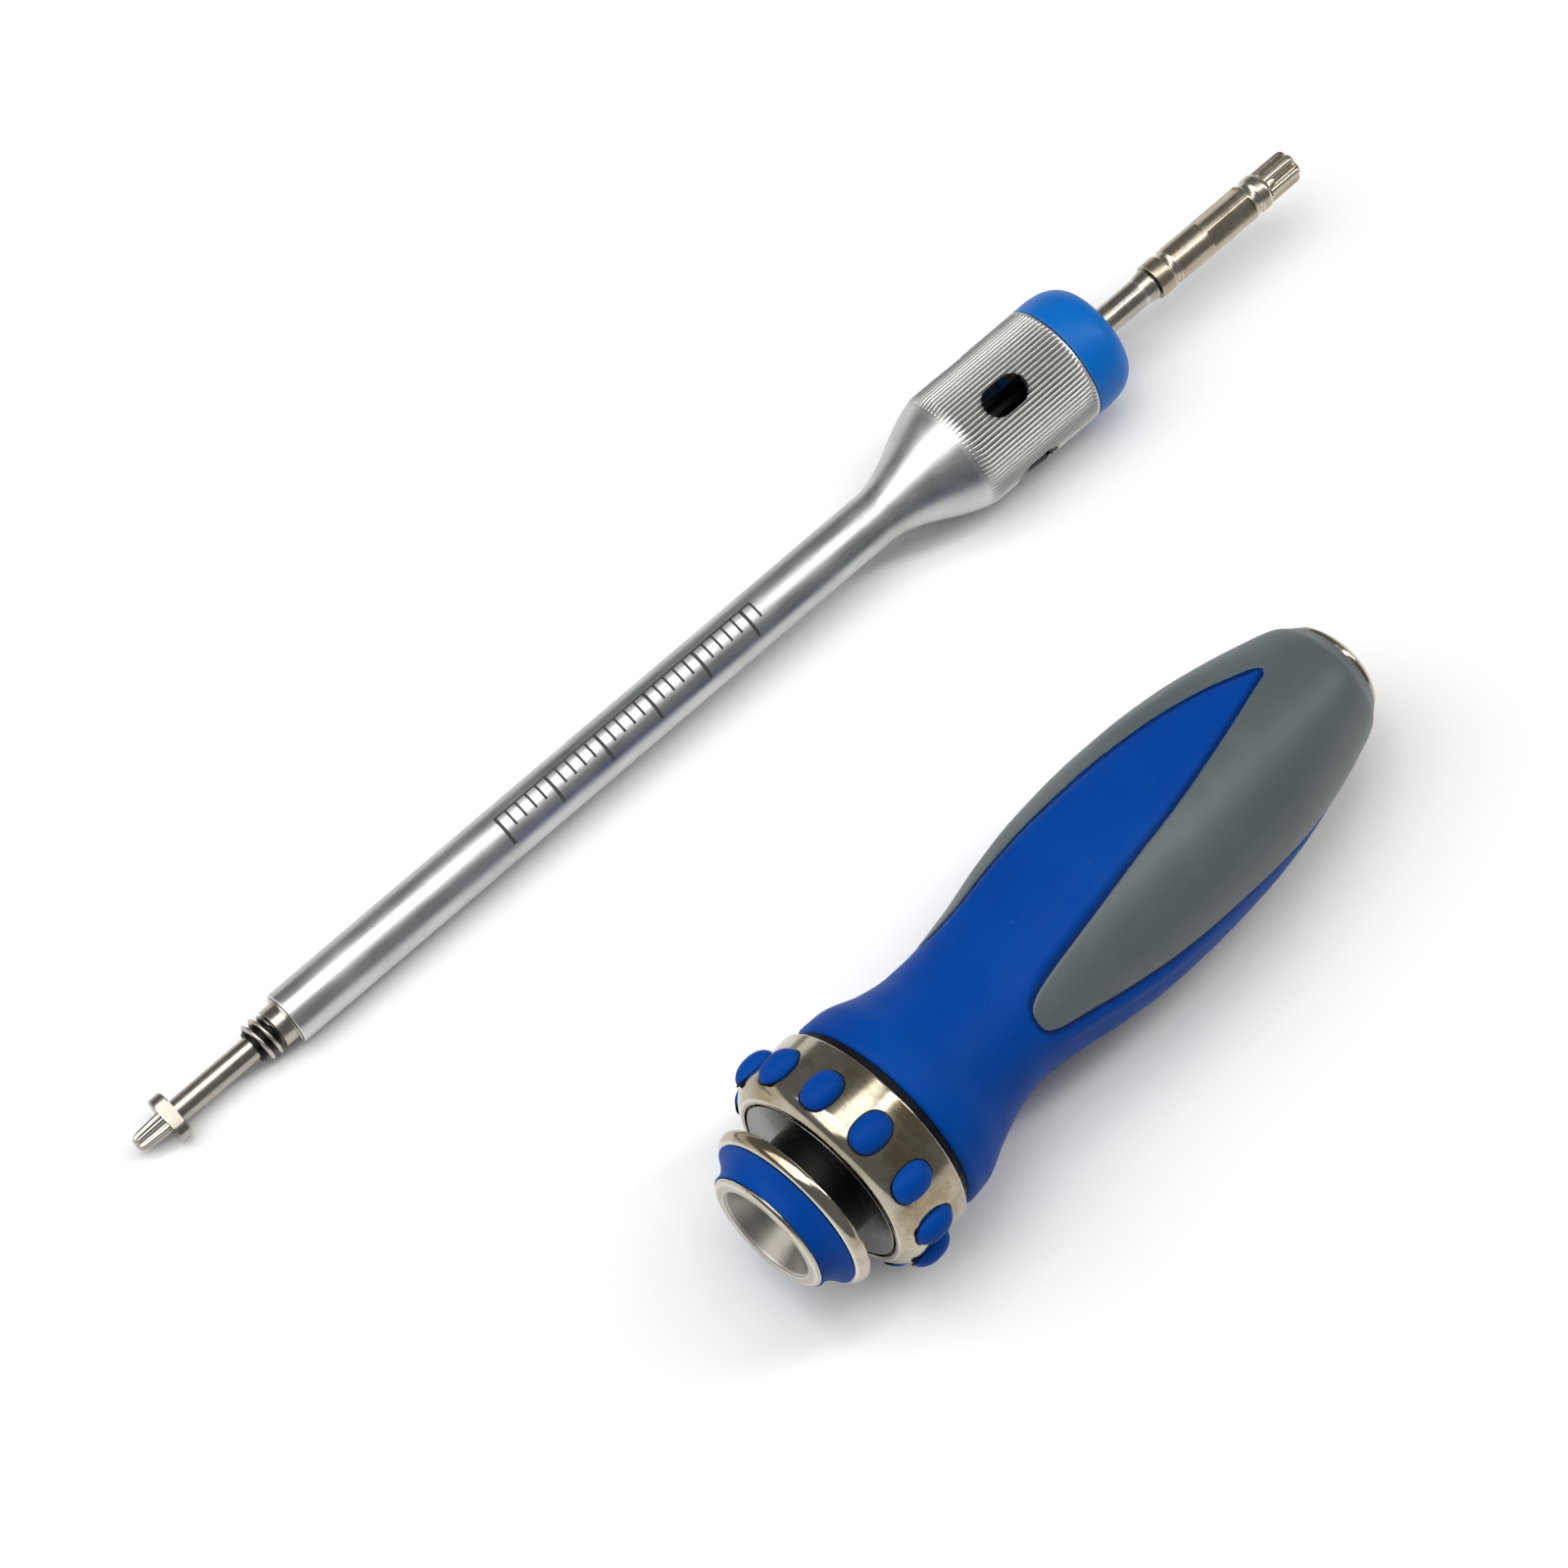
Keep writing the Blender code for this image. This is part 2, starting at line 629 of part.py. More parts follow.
def build_selector():
    """Steel direction ring with twelve oval windows, and the silicone liner whose studs fill them."""
    liner_radius = 16.95
    outer = [(RING_FRONT, 14.95), (RING_FRONT + 0.4, 16.0), (RING_FRONT + 1.2, 17.3),
             (RING_FRONT + 2.3, RING_RADIUS), (RING_REAR, RING_RADIUS)]
    inner = [(RING_FRONT, 14.75), (13.0, 14.75), (13.0, liner_radius + 0.15), (20.0, liner_radius + 0.15),
             (20.0, 16.2), (RING_REAR, 16.2)]
    ring = turned("selector_ring", outer, POLISHED_STEEL, HANDLE, FINE, inner)

    def windows(form):
        for number in range(STUDS):
            oval_frustum(form, STUD_LENGTH - 1.4, STUD_WIDTH - 0.8, 15.0, 21.0, 1.0, stud_outline_matrix(number))
        for turn in (-22.5, 0.0, 22.5):
            place = Matrix.Translation((0.0, 0.0, DETENT_STATION * MM)) @ along_axis(180.0 + turn)
            cylinder_solid(form, 0.8, 15.0, 16.6, place)

    join_or_cut(ring, cutter("ring_windows", windows, HANDLE))
    studs = ring_piece("selector_studs", 14.35, 19.85, 16.25, liner_radius, BLUE_SILICONE, HANDLE, FINE)

    def plugs(form):
        for number in range(STUDS):
            place = stud_outline_matrix(number)
            oval_frustum(form, STUD_LENGTH - 1.8, STUD_WIDTH - 1.2, 16.6, STUD_TOP, 0.35, place)

    join_or_cut(studs, cutter("stud_plugs", plugs, HANDLE), "UNION")


# Spindle and quick coupling


def build_spindle():
    """Turning core of the handle: nose, neck with the spring pocket, hub disc and ratchet shaft."""
    hub_radius, hub_rear = 14.3, 13.0
    outer = [(4.8, NOSE_RADIUS - 0.4), (5.2, NOSE_RADIUS), (POCKET_END, NOSE_RADIUS), (POCKET_END, 8.4),
             (7.6, 8.4), (7.6, NECK_RADIUS), (HUB_FACE, NECK_RADIUS), (HUB_FACE, hub_radius),
             (hub_rear, hub_radius), (hub_rear, NECK_RADIUS), (15.5, NECK_RADIUS), (15.5, SHAFT_RADIUS),
             (25.3, SHAFT_RADIUS), (25.3, 4.9), (26.3, 4.9), (26.3, SHAFT_RADIUS), (44.0, SHAFT_RADIUS)]
    bore = [(4.8, BORE_RADIUS + 0.5), (5.3, BORE_RADIUS), (SOCKET_END, BORE_RADIUS)]
    spindle = turned("spindle", outer, SATIN_STEEL, HANDLE, MEDIUM, bore, blind=True)

    def ball_holes(form):
        for number in range(BALLS):
            place = Matrix.Translation((0.0, 0.0, BALL_STATION * MM)) @ along_axis(120.0 * number)
            cylinder_solid(form, BALL_RADIUS + 0.12, 2.0, 7.0, place)

    join_or_cut(spindle, cutter("ball_holes", ball_holes, HANDLE))
    flat_plate("ratchet_gear", [gear_outline(), circle(SHAFT_RADIUS + 0.12, MEDIUM)], GEAR_FRONT, GEAR_REAR,
               SATIN_STEEL, HANDLE)
    gap_angle = 25.0
    arc_angles = [gap_angle + (360.0 - 2 * gap_angle) * step / 16 for step in range(17)]
    clip = [polar(7.3, angle) for angle in arc_angles] + [polar(5.05, angle) for angle in reversed(arc_angles)]
    flat_plate("spindle_circlip", [clip], 25.4, 26.2, SPRING_STEEL, HANDLE)
    for number in range(BALLS):
        ball(f"locking_ball_{number + 1}", BALL_RADIUS, BALL_SEAT, BALL_STATION, 120.0 * number, HANDLE)


def build_collar():
    """Sliding collar with its mouth cone, the blue grip band around it and the return spring behind it."""
    rim_front, rim_rear = 4.9, 7.4
    band_bed = [(1.05, 10.0), (2.6, 10.3), (4.8, 12.6)]
    rim = [(rim_front, 13.45), (5.6, 14.2), (6.4, 14.55), (7.1, 14.4), (rim_rear, 13.6)]
    outer = [(0.35, 8.6), (0.35, 9.9), (1.0, 10.55)] + band_bed + rim
    skirt_inner, sleeve_outer, land = 9.2, 6.8, 5.38
    inner = [(0.55, MOUTH_RADIUS), (3.8, 6.1), (5.4, land), (7.1, land), (7.1, sleeve_outer), (4.2, sleeve_outer),
             (4.2, skirt_inner), (rim_rear, skirt_inner)]
    turned("coupling_collar", outer, POLISHED_STEEL, HANDLE, FINE, inner)
    gap = 0.12
    band_outer = [(1.15, 10.6), (2.4, 10.9), (3.6, 11.85), (4.78, 13.3)]
    band_inner = [(1.15, 10.02 + gap), (2.6, 10.3 + gap), (4.78, 12.6 + gap)]
    turned("collar_band", band_outer, BLUE_SILICONE, HANDLE, FINE, band_inner)
    coil("collar_spring", 6.6, 0.3, 7.5, POCKET_END - 0.4, 4, SPRING_STEEL, HANDLE)


# Driver


def star_radius(small, large, lobes):
    def radius(station, angle):
        return (small + large) / 2 + (large - small) / 2 * cos(radians(lobes * angle))

    return radius


def build_rod():
    """Inner drive rod: star tip, cross key, long rod and the spigot that the shank is fixed to."""
    outer = [(7.0, FRONT_ROD_RADIUS), (36.5, FRONT_ROD_RADIUS), (38.0, ROD_RADIUS), (206.5, ROD_RADIUS),
             (208.95, 2.75), (208.95, 1.6), (213.8, 1.6)]
    rod = turned("drive_rod", outer, SATIN_STEEL, DRIVER, SMALL)

    def tip_radius(station, angle):
        grow = min(station / 0.9, 1.0)
        size = 0.62 + 0.38 * (grow * (2 - grow)) + 0.055 * station
        return size * star_radius(1.12, 1.5, 6)(station, angle)

    tip = as_cutter(lofted("tip_form", [0.0, 0.35, 0.9, 3.0, 6.0], tip_radius, None, DRIVER, MEDIUM,
                           collection=CUTTERS))
    join_or_cut(rod, tip, "UNION")

    def cross_key(form):
        prism_solid(form, capsule_outline(8.0, 4.2), 5.4, 7.7, Matrix.Rotation(radians(KEY_ANGLE), 4, "Z"))

    join_or_cut(rod, cutter("key_form", cross_key, DRIVER), "UNION")
    join_or_cut(rod, stop_pin_hole("rod_pin_hole", 0.72), "DIFFERENCE")


def stop_pin_hole(name, radius):
    def build(form):
        place = Matrix.Translation((0.0, 0.0, (STOP_FRONT + STOP_REAR) / 2 * MM)) @ along_axis(90.0)
        cylinder_solid(form, radius, -8.0, 8.0, place)

    return cutter(name, build, DRIVER)


def build_shank():
    """Quick-coupling shank: stop collar, two ball grooves, four flats and a splined end."""
    outer = [(SHANK_FRONT, SHANK_RADIUS), (212.0, SHANK_RADIUS), (212.35, 2.75), (213.0, 2.75),
             (213.35, SHANK_RADIUS), (230.3, SHANK_RADIUS), (230.65, 2.75), (231.3, 2.75),
             (231.65, SHANK_RADIUS), (233.3, SHANK_RADIUS), (234.1, 2.6), (235.5, 2.5)]
    bore = [(SHANK_FRONT, 1.72), (214.1, 1.72)]
    shank = turned("quick_shank", outer, SATIN_STEEL, DRIVER, SMALL, bore, blind=True)
    splines = as_cutter(lofted("spline_form", [234.4, 239.9, SHANK_END],
                               lambda station, angle: star_radius(2.45, 2.9, 6)(station, angle)
                               - max(station - 239.9, 0.0) * 0.8, None, DRIVER, MEDIUM, collection=CUTTERS))
    join_or_cut(shank, splines, "UNION")

    def flats(form):
        for number in range(4):
            box_solid(form, (2.86, -4.0, 220.6), (5.0, 4.0, 230.0),
                      Matrix.Rotation(radians(90.0 * number + 52.0), 4, "Z"))

    join_or_cut(shank, cutter("shank_flats", flats, DRIVER))


def build_stop():
    """Collar pinned to the rod inside the cup, which keeps the sleeve from sliding off."""
    stop = ring_piece("stop_collar", STOP_FRONT, STOP_REAR, ROD_RADIUS + 0.12, STOP_RADIUS, SATIN_STEEL, DRIVER)
    join_or_cut(stop, stop_pin_hole("collar_pin_hole", 0.72))

    def pin(form):
        place = Matrix.Translation((0.0, 0.0, (STOP_FRONT + STOP_REAR) / 2 * MM)) @ along_axis(90.0)
        cylinder_solid(form, 0.6, -5.3, 5.3, place)

    solid_from("stop_pin", pin, DRIVER, SATIN_STEEL)
    ring_piece("thrust_washer", STOP_REAR + 0.2, STOP_REAR + 1.0, ROD_RADIUS + 0.2, 6.2, BRONZE, DRIVER)


def sleeve_flare(start, end, low, high, count=7):
    """S-curve from the tube to the cup."""
    points = []
    for index in range(count + 1):
        t = index / count
        points.append((start + (end - start) * t, low + (high - low) * t * t * (3 - 2 * t)))
    return points


def build_sleeve():
    """Outer sleeve: a long tube that flares into the fluted cup with four windows."""
    outer = [(TUBE_FRONT, TUBE_RADIUS - 0.3), (TUBE_FRONT + 0.3, TUBE_RADIUS)]
    outer += sleeve_flare(149.0, 168.2, TUBE_RADIUS, 10.6)
    outer += [(169.6, 10.6), (170.4, CUP_RADIUS), (CUP_REAR, CUP_RADIUS)]
    inner = [(TUBE_FRONT, TUBE_BORE), (152.0, TUBE_BORE)]
    inner += sleeve_flare(154.0, 169.0, TUBE_BORE, 8.9, 3)
    inner += [(CUP_REAR, 8.9)]
    sleeve = turned("outer_sleeve", outer, ALUMINIUM, DRIVER, MEDIUM, inner)

    def windows(form):
        for number in range(WINDOWS):
            turn = WINDOW_ANGLE + 360.0 / WINDOWS * number
            place = Matrix.Translation((0.0, 0.0, WINDOW_STATION * MM)) @ along_axis(turn)
            prism_solid(form, capsule_outline(WINDOW_LENGTH, WINDOW_WIDTH), 7.0, 12.5, place)

    join_or_cut(sleeve, cutter("cup_windows", windows, DRIVER))


def build_threaded_tip():
    """Steel nose of the sleeve: three thread crests, an undercut and the spigot fixed in the tube."""
    crest, root = 3.5, 2.8
    outer = [(22.4, root)]
    for turn in range(3):
        start = 22.6 + 1.35 * turn
        outer += [(start, root), (start + 0.4, crest), (start + 0.75, crest), (start + 1.15, root)]
    outer += [(28.8, root), (28.8, 4.1), (28.95, 4.1), (28.95, 3.3), (35.5, 3.3)]
    inner = [(22.4, FRONT_ROD_RADIUS + 0.15), (35.5, FRONT_ROD_RADIUS + 0.15)]
    turned("threaded_tip", outer, SATIN_STEEL, DRIVER, SMALL, inner)


def build_sleeve_cap():
    """Blue rear cap of the cup, with the bush that runs on the rod, and the bush inside the tube."""
    rounding = arc((CAP_REAR - 3.9, 6.6), 3.9, 90.0, 0.0, 4)
    outer = [(181.5, 8.7), (188.25, 8.7), (188.25, 10.5)] + rounding
    inner = [(181.5, 4.3), (190.5, 4.3), (190.5, 2.85), (CAP_REAR, 2.85)]
    turned("sleeve_cap", outer, BLUE_PLASTIC, DRIVER, MEDIUM, inner)
    ring_piece("rear_sleeve_bush", 181.5, 190.3, ROD_RADIUS + 0.12, 4.15, BRONZE, DRIVER)
    ring_piece("front_sleeve_bush", 140.0, 149.0, ROD_RADIUS + 0.12, 3.3, BRONZE, DRIVER)


build_grips()
build_core()
build_rear_cap()
build_housing()
build_housing_screws()
build_pawls()
build_detent()
build_bearings()
build_selector()
build_spindle()
build_collar()
build_rod()
build_shank()
build_stop()
build_sleeve()
build_threaded_tip()
build_sleeve_cap()
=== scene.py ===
"""Looks of the ratcheting screwdriver: its surfaces, materials, floor, light and camera.

Stations and radii are in millimetres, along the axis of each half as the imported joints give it: the
handle from its mouth (0) to its rear cap, the driver from its tip (0) to the end of its shank. Angles
around an axis are in degrees from the upper side.
"""

import json
from math import copysign, cos, pi, radians, sin

import bmesh
import bpy
import numpy as np
from mathutils import Matrix, Vector


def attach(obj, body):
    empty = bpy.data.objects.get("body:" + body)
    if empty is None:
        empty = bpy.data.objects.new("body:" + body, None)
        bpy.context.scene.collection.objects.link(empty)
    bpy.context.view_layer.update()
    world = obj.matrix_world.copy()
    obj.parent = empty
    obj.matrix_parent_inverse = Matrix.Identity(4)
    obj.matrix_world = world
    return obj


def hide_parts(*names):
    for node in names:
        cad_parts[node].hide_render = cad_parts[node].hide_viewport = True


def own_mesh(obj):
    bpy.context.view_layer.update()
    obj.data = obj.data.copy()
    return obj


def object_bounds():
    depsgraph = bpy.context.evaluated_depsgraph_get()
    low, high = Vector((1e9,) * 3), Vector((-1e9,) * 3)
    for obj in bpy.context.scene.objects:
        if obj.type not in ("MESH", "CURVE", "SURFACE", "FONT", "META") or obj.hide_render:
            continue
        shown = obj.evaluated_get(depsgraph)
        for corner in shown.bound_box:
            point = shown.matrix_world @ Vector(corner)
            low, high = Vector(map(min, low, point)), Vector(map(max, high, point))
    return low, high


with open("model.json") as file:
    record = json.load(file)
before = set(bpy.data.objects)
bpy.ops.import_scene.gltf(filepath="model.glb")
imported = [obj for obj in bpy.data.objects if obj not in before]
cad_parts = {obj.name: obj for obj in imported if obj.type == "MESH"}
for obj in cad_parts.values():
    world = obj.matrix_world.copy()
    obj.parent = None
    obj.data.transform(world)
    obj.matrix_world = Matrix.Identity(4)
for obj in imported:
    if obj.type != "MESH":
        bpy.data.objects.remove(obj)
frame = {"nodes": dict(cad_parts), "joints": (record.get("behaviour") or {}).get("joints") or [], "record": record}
CAD_BOX = [list(corner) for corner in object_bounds()]

MM = 0.001
FULL_TURN = 2 * pi
UP = Vector((0.0, 0.0, 1.0))

# Stations of the two joints whose places give each half's axis.
SPINDLE_JOINT_STATION = 18.1
SLEEVE_JOINT_STATION = 100.0

# Facets around pieces.
ROUND = 144
SMALL_ROUND = 72

# Only roundings below this one are marked for painted light: a painted highlight on metal, painted shade on
# silicone that has a rim colour.
LIT_ROUNDING = 0.9

# Grip. Keys are (station, radius), (station, height of a lobe) and (station, half angle of a petal).
GRIP_FRONT = 24.9
SKIN_REAR = 121.0
GRIP_KEYS = ((24.9, 17.45), (29.0, 17.15), (35.0, 15.0), (40.5, 13.6), (46.0, 13.15), (53.0, 13.85),
             (63.0, 15.75), (72.0, 16.85), (82.0, 17.2), (92.0, 16.85), (101.0, 15.9), (110.0, 14.1),
             (118.0, 11.95), (122.4, 10.5), (124.3, 9.1), (124.9, 8.7))
LOBE_KEYS = ((24.9, 0.0), (34.0, 0.05), (47.0, 0.75), (62.0, 0.6), (80.0, 0.55), (100.0, 0.3), (118.0, 0.1),
             (124.9, 0.0))
PETALS = 3
PETAL_ANGLE = 40.0
PETAL_PITCH = 120.0
HALF_PITCH = PETAL_PITCH / 2
PETAL_KEYS = ((47.35, 0.0), (47.45, 4.0), (47.8, 8.0), (48.8, 11.8), (51.0, 15.6), (57.0, 20.4),
              (66.0, 25.4), (75.0, 29.7), (84.0, 33.2), (96.0, 40.4), (104.0, 47.2), (109.0, 53.0),
              (111.4, 56.2), (112.25, 57.8), (112.5, 60.0))
PETAL_FRONT = 47.35
TONGUE_TIP = 112.5
PETAL_RISE = 0.25
PETAL_EDGE_DEPTH = 0.5
SEAM_DEPTH = 0.16
SEAM_WIDTH = 1.1
SEAM_SHADE_WIDTH = 0.9
RIDGE_HEIGHT = 0.42

# Selector ring and its studs.
RING_FRONT = 11.7
RING_REAR = 23.3
RING_RADIUS = 18.05
STUDS = 12
STUD_STATION = 16.6
STUD_ANGLE = 15.0
STUD_TOP = 19.95
STUD_LENGTH = 6.9
STUD_WIDTH = 5.15

# Springs and what they push on.
POCKET_END = 14.8
DETENT_STATION = 22.4

# Driver.
TUBE_RADIUS = 4.45
FRONT_BORE = 2.15
TUBE_BORE = 3.45
FLARE_START = 149.0
FLARE_LENGTH = 19.2
FLARE_RADIUS = 10.58
CUP_FRONT = 164.0
CUP_REAR = 188.0
CUP_RADIUS = 10.45
CUP_BORE = 8.9
FLUTES = 80
FLUTE_DEPTH = 0.42
WINDOWS = 4
WINDOW_STATION = 174.95
WINDOW_LENGTH = 8.3
WINDOW_WIDTH = 5.3
WINDOW_ANGLE = 13.0
KEY_ANGLE = 104.0
IN_CUP = (150.0, 192.0)
SHANK_FLAT = 2.72
SHANK_FLAT_ANGLE = 43.0

# Etched scale on the tube.
SCALE_START = 72.0
SCALE_END = 124.0
SCALE_ANGLE = 20.0
TICK_PITCH = 2.0

# Camera, in metres: the point it looks at, from the handle's mouth, and its own place from that point.
VIEW_FROM_MOUTH = Vector((0.06111, 0.05289, 0.0))
CAMERA_FROM_VIEW = Vector((-0.2343, -0.2181, 0.6783))
LENS = 112.5
SENSOR = 36.0


def joint(name):
    return next(found for found in frame["joints"] if found["name"] == name)


def half_frame(name, station):
    """Matrix whose +Z runs along a half's axis from its front end and whose +X points up."""
    axis = Vector(joint(name)["axis"]).normalized()
    origin = Vector(joint(name)["pos_m"]) - axis * station * MM
    side = axis.cross(UP).normalized()
    upper = side.cross(axis)
    return Matrix.Translation(origin) @ Matrix((upper, side, axis)).transposed().to_4x4()


HANDLE = half_frame("ratchet_spin", SPINDLE_JOINT_STATION)
DRIVER = half_frame("sleeve_spin", SLEEVE_JOINT_STATION)


# Materials


def new_material(name, roughness, metallic=0.0):
    made = bpy.data.materials.new(name)
    made["slot"] = name
    made.use_nodes = True
    shader = made.node_tree.nodes["Principled BSDF"]
    shader.inputs["Roughness"].default_value = roughness
    shader.inputs["Metallic"].default_value = metallic
    return made.node_tree, shader, made


def noise(tree, scale, detail=3.0, stretch=(1.0, 1.0, 1.0), roughness=0.55, half=HANDLE):
    """Noise in the directions of a half, in features per metre. A small factor in stretch draws it out."""
    place = tree.nodes.new("ShaderNodeTexCoord")
    turn = tree.nodes.new("ShaderNodeMapping")
    mapping = tree.nodes.new("ShaderNodeMapping")
    texture = tree.nodes.new("ShaderNodeTexNoise")
    turn.inputs["Rotation"].default_value = half.inverted().to_euler()
    mapping.inputs["Scale"].default_value = stretch
    texture.inputs["Scale"].default_value = scale
    texture.inputs["Detail"].default_value = detail
    texture.inputs["Roughness"].default_value = roughness
    tree.links.new(place.outputs["Object"], turn.inputs["Vector"])
    tree.links.new(turn.outputs["Vector"], mapping.inputs["Vector"])
    tree.links.new(mapping.outputs["Vector"], texture.inputs["Vector"])
    return texture.outputs["Fac"]


def spread(tree, value, low, high, start=0.0, end=1.0):
    """Maps a value from low..high to start..end, and holds it there."""
    ramp = tree.nodes.new("ShaderNodeMapRange")
    ramp.inputs["From Min"].default_value = low
    ramp.inputs["From Max"].default_value = high
    ramp.inputs["To Min"].default_value = start
    ramp.inputs["To Max"].default_value = end
    tree.links.new(value, ramp.inputs["Value"])
    return ramp.outputs["Result"]


def colours(tree, value, first, second):
    """A colour between two, by a value from 0 to 1."""
    blend = tree.nodes.new("ShaderNodeMix")
    blend.data_type = "RGBA"
    blend.inputs["A"].default_value = (*first, 1.0)
    blend.inputs["B"].default_value = (*second, 1.0)
    tree.links.new(value, blend.inputs["Factor"])
    return blend.outputs["Result"]


def over(tree, value, under, second):
    """A colour laid over another one, by a value from 0 to 1."""
    blend = tree.nodes.new("ShaderNodeMix")
    blend.data_type = "RGBA"
    tree.links.new(under, blend.inputs["A"])
    blend.inputs["B"].default_value = (*second, 1.0)
    tree.links.new(value, blend.inputs["Factor"])
    return blend.outputs["Result"]


def times(tree, first, second):
    """The product of a value and a number or another value."""
    product = tree.nodes.new("ShaderNodeMath")
    product.operation = "MULTIPLY"
    tree.links.new(first, product.inputs[0])
    if isinstance(second, float):
        product.inputs[1].default_value = second
    else:
        tree.links.new(second, product.inputs[1])
    return product.outputs["Value"]


def bump(tree, shader, height, distance, strength=1.0, before=None):
    """Gives a shader a relief, on top of the relief before it."""
    node = tree.nodes.new("ShaderNodeBump")
    node.inputs["Distance"].default_value = distance
    node.inputs["Strength"].default_value = strength
    tree.links.new(height, node.inputs["Height"])
    if before:
        tree.links.new(before, node.inputs["Normal"])
    tree.links.new(node.outputs["Normal"], shader.inputs["Normal"])
    return node.outputs["Normal"]


def painted_edge_light(tree):
    """How much painted light a point takes, from the piece's own edge marks."""
    mark = tree.nodes.new("ShaderNodeAttribute")
    mark.attribute_name = "edge"
    return mark.outputs["Fac"]


def silicone(name, deep, light, dust_and_sheen, roughness, gloss=0.45, rim=None):
    """Moulded silicone: slow colour drift, a fine dry grain, faint smears and a few dusty specks. Marked edges
    take painted light: rim is the painted shade colour there, and without a rim they take a painted sheen in
    dust_and_sheen."""
    tree, shader, made = new_material(name, roughness)
    drift = spread(tree, noise(tree, 45.0, 3.0), 0.35, 0.65)
    base = colours(tree, drift, deep, light)
    specks = spread(tree, noise(tree, 1500.0, 1.0), 0.77, 0.81, 0.0, 0.2)
    base = over(tree, specks, base, dust_and_sheen)
    # Painted light on marked edges: painted shade in the rim colour, or else a painted sheen in the speck colour.
    edge_paint = times(tree, painted_edge_light(tree), 0.8 if rim else 0.25)
    base = over(tree, edge_paint, base, rim or dust_and_sheen)
    tree.links.new(base, shader.inputs["Base Color"])
    smears = spread(tree, noise(tree, 90.0, 4.0, (1.0, 1.0, 0.35)), 0.3, 0.7, roughness - 0.07,
                    roughness + 0.09)
    tree.links.new(smears, shader.inputs["Roughness"])
    shader.inputs["Specular IOR Level"].default_value = gloss
    grain = bump(tree, shader, noise(tree, 2600.0, 2.0), 0.00003, 0.5)
    bump(tree, shader, noise(tree, 160.0, 2.0), 0.00012, 0.35, grain)
    return made


def metal(name, bright, dull, roughness, lines=(1.0, 1.0, 1.0), lines_scale=1500.0, line_depth=0.000006,
          warm_reflection=None, reflection_and_pit_amount=0.0, rough_drift=0.06, half=HANDLE, edge_highlight=0.5):
    """Metal with machining lines, slow tone drift, a painted highlight on marked edges and, where given, a warm
    painted reflection in soft areas with fine dark pits.
    """
    tree, shader, made = new_material(name, roughness, 1.0)
    drift = spread(tree, noise(tree, 70.0, 4.0), 0.3, 0.7)
    base = colours(tree, drift, bright, dull)
    # Painted reflection: warm brown areas stand in for mirrored surroundings. Fine dark pits follow.
    if warm_reflection:
        patches = spread(tree, noise(tree, 110.0, 5.0, roughness=0.65), 0.46, 0.66, 0.0, reflection_and_pit_amount)
        base = over(tree, patches, base, warm_reflection)
        pits = spread(tree, noise(tree, 1100.0, 3.0), 0.64, 0.72, 0.0, reflection_and_pit_amount)
        base = over(tree, pits, base, (0.16, 0.11, 0.06))
    # Painted highlight: marked edges and flute crests are lightened toward pale steel.
    base = over(tree, times(tree, painted_edge_light(tree), edge_highlight), base, (0.78, 0.77, 0.74))
    tree.links.new(base, shader.inputs["Base Color"])
    machining = noise(tree, lines_scale, 3.0, lines, half=half)
    cloudy = noise(tree, 130.0, 5.0)
    rough = tree.nodes.new("ShaderNodeMath")
    rough.operation = "MULTIPLY_ADD"
    tree.links.new(spread(tree, cloudy, 0.3, 0.7, -rough_drift, rough_drift), rough.inputs[0])
    rough.inputs[1].default_value = 1.0
    tree.links.new(spread(tree, machining, 0.3, 0.7, roughness - rough_drift / 2,
                          roughness + rough_drift / 2), rough.inputs[2])
    tree.links.new(rough.outputs["Value"], shader.inputs["Roughness"])
    fine = bump(tree, shader, machining, line_depth, 0.6)
    bump(tree, shader, noise(tree, 240.0, 3.0), line_depth * 1.5, 0.3, fine)
    return made


TURNED = (0.04, 0.04, 1.0)
DRAWN = (1.0, 1.0, 0.03)

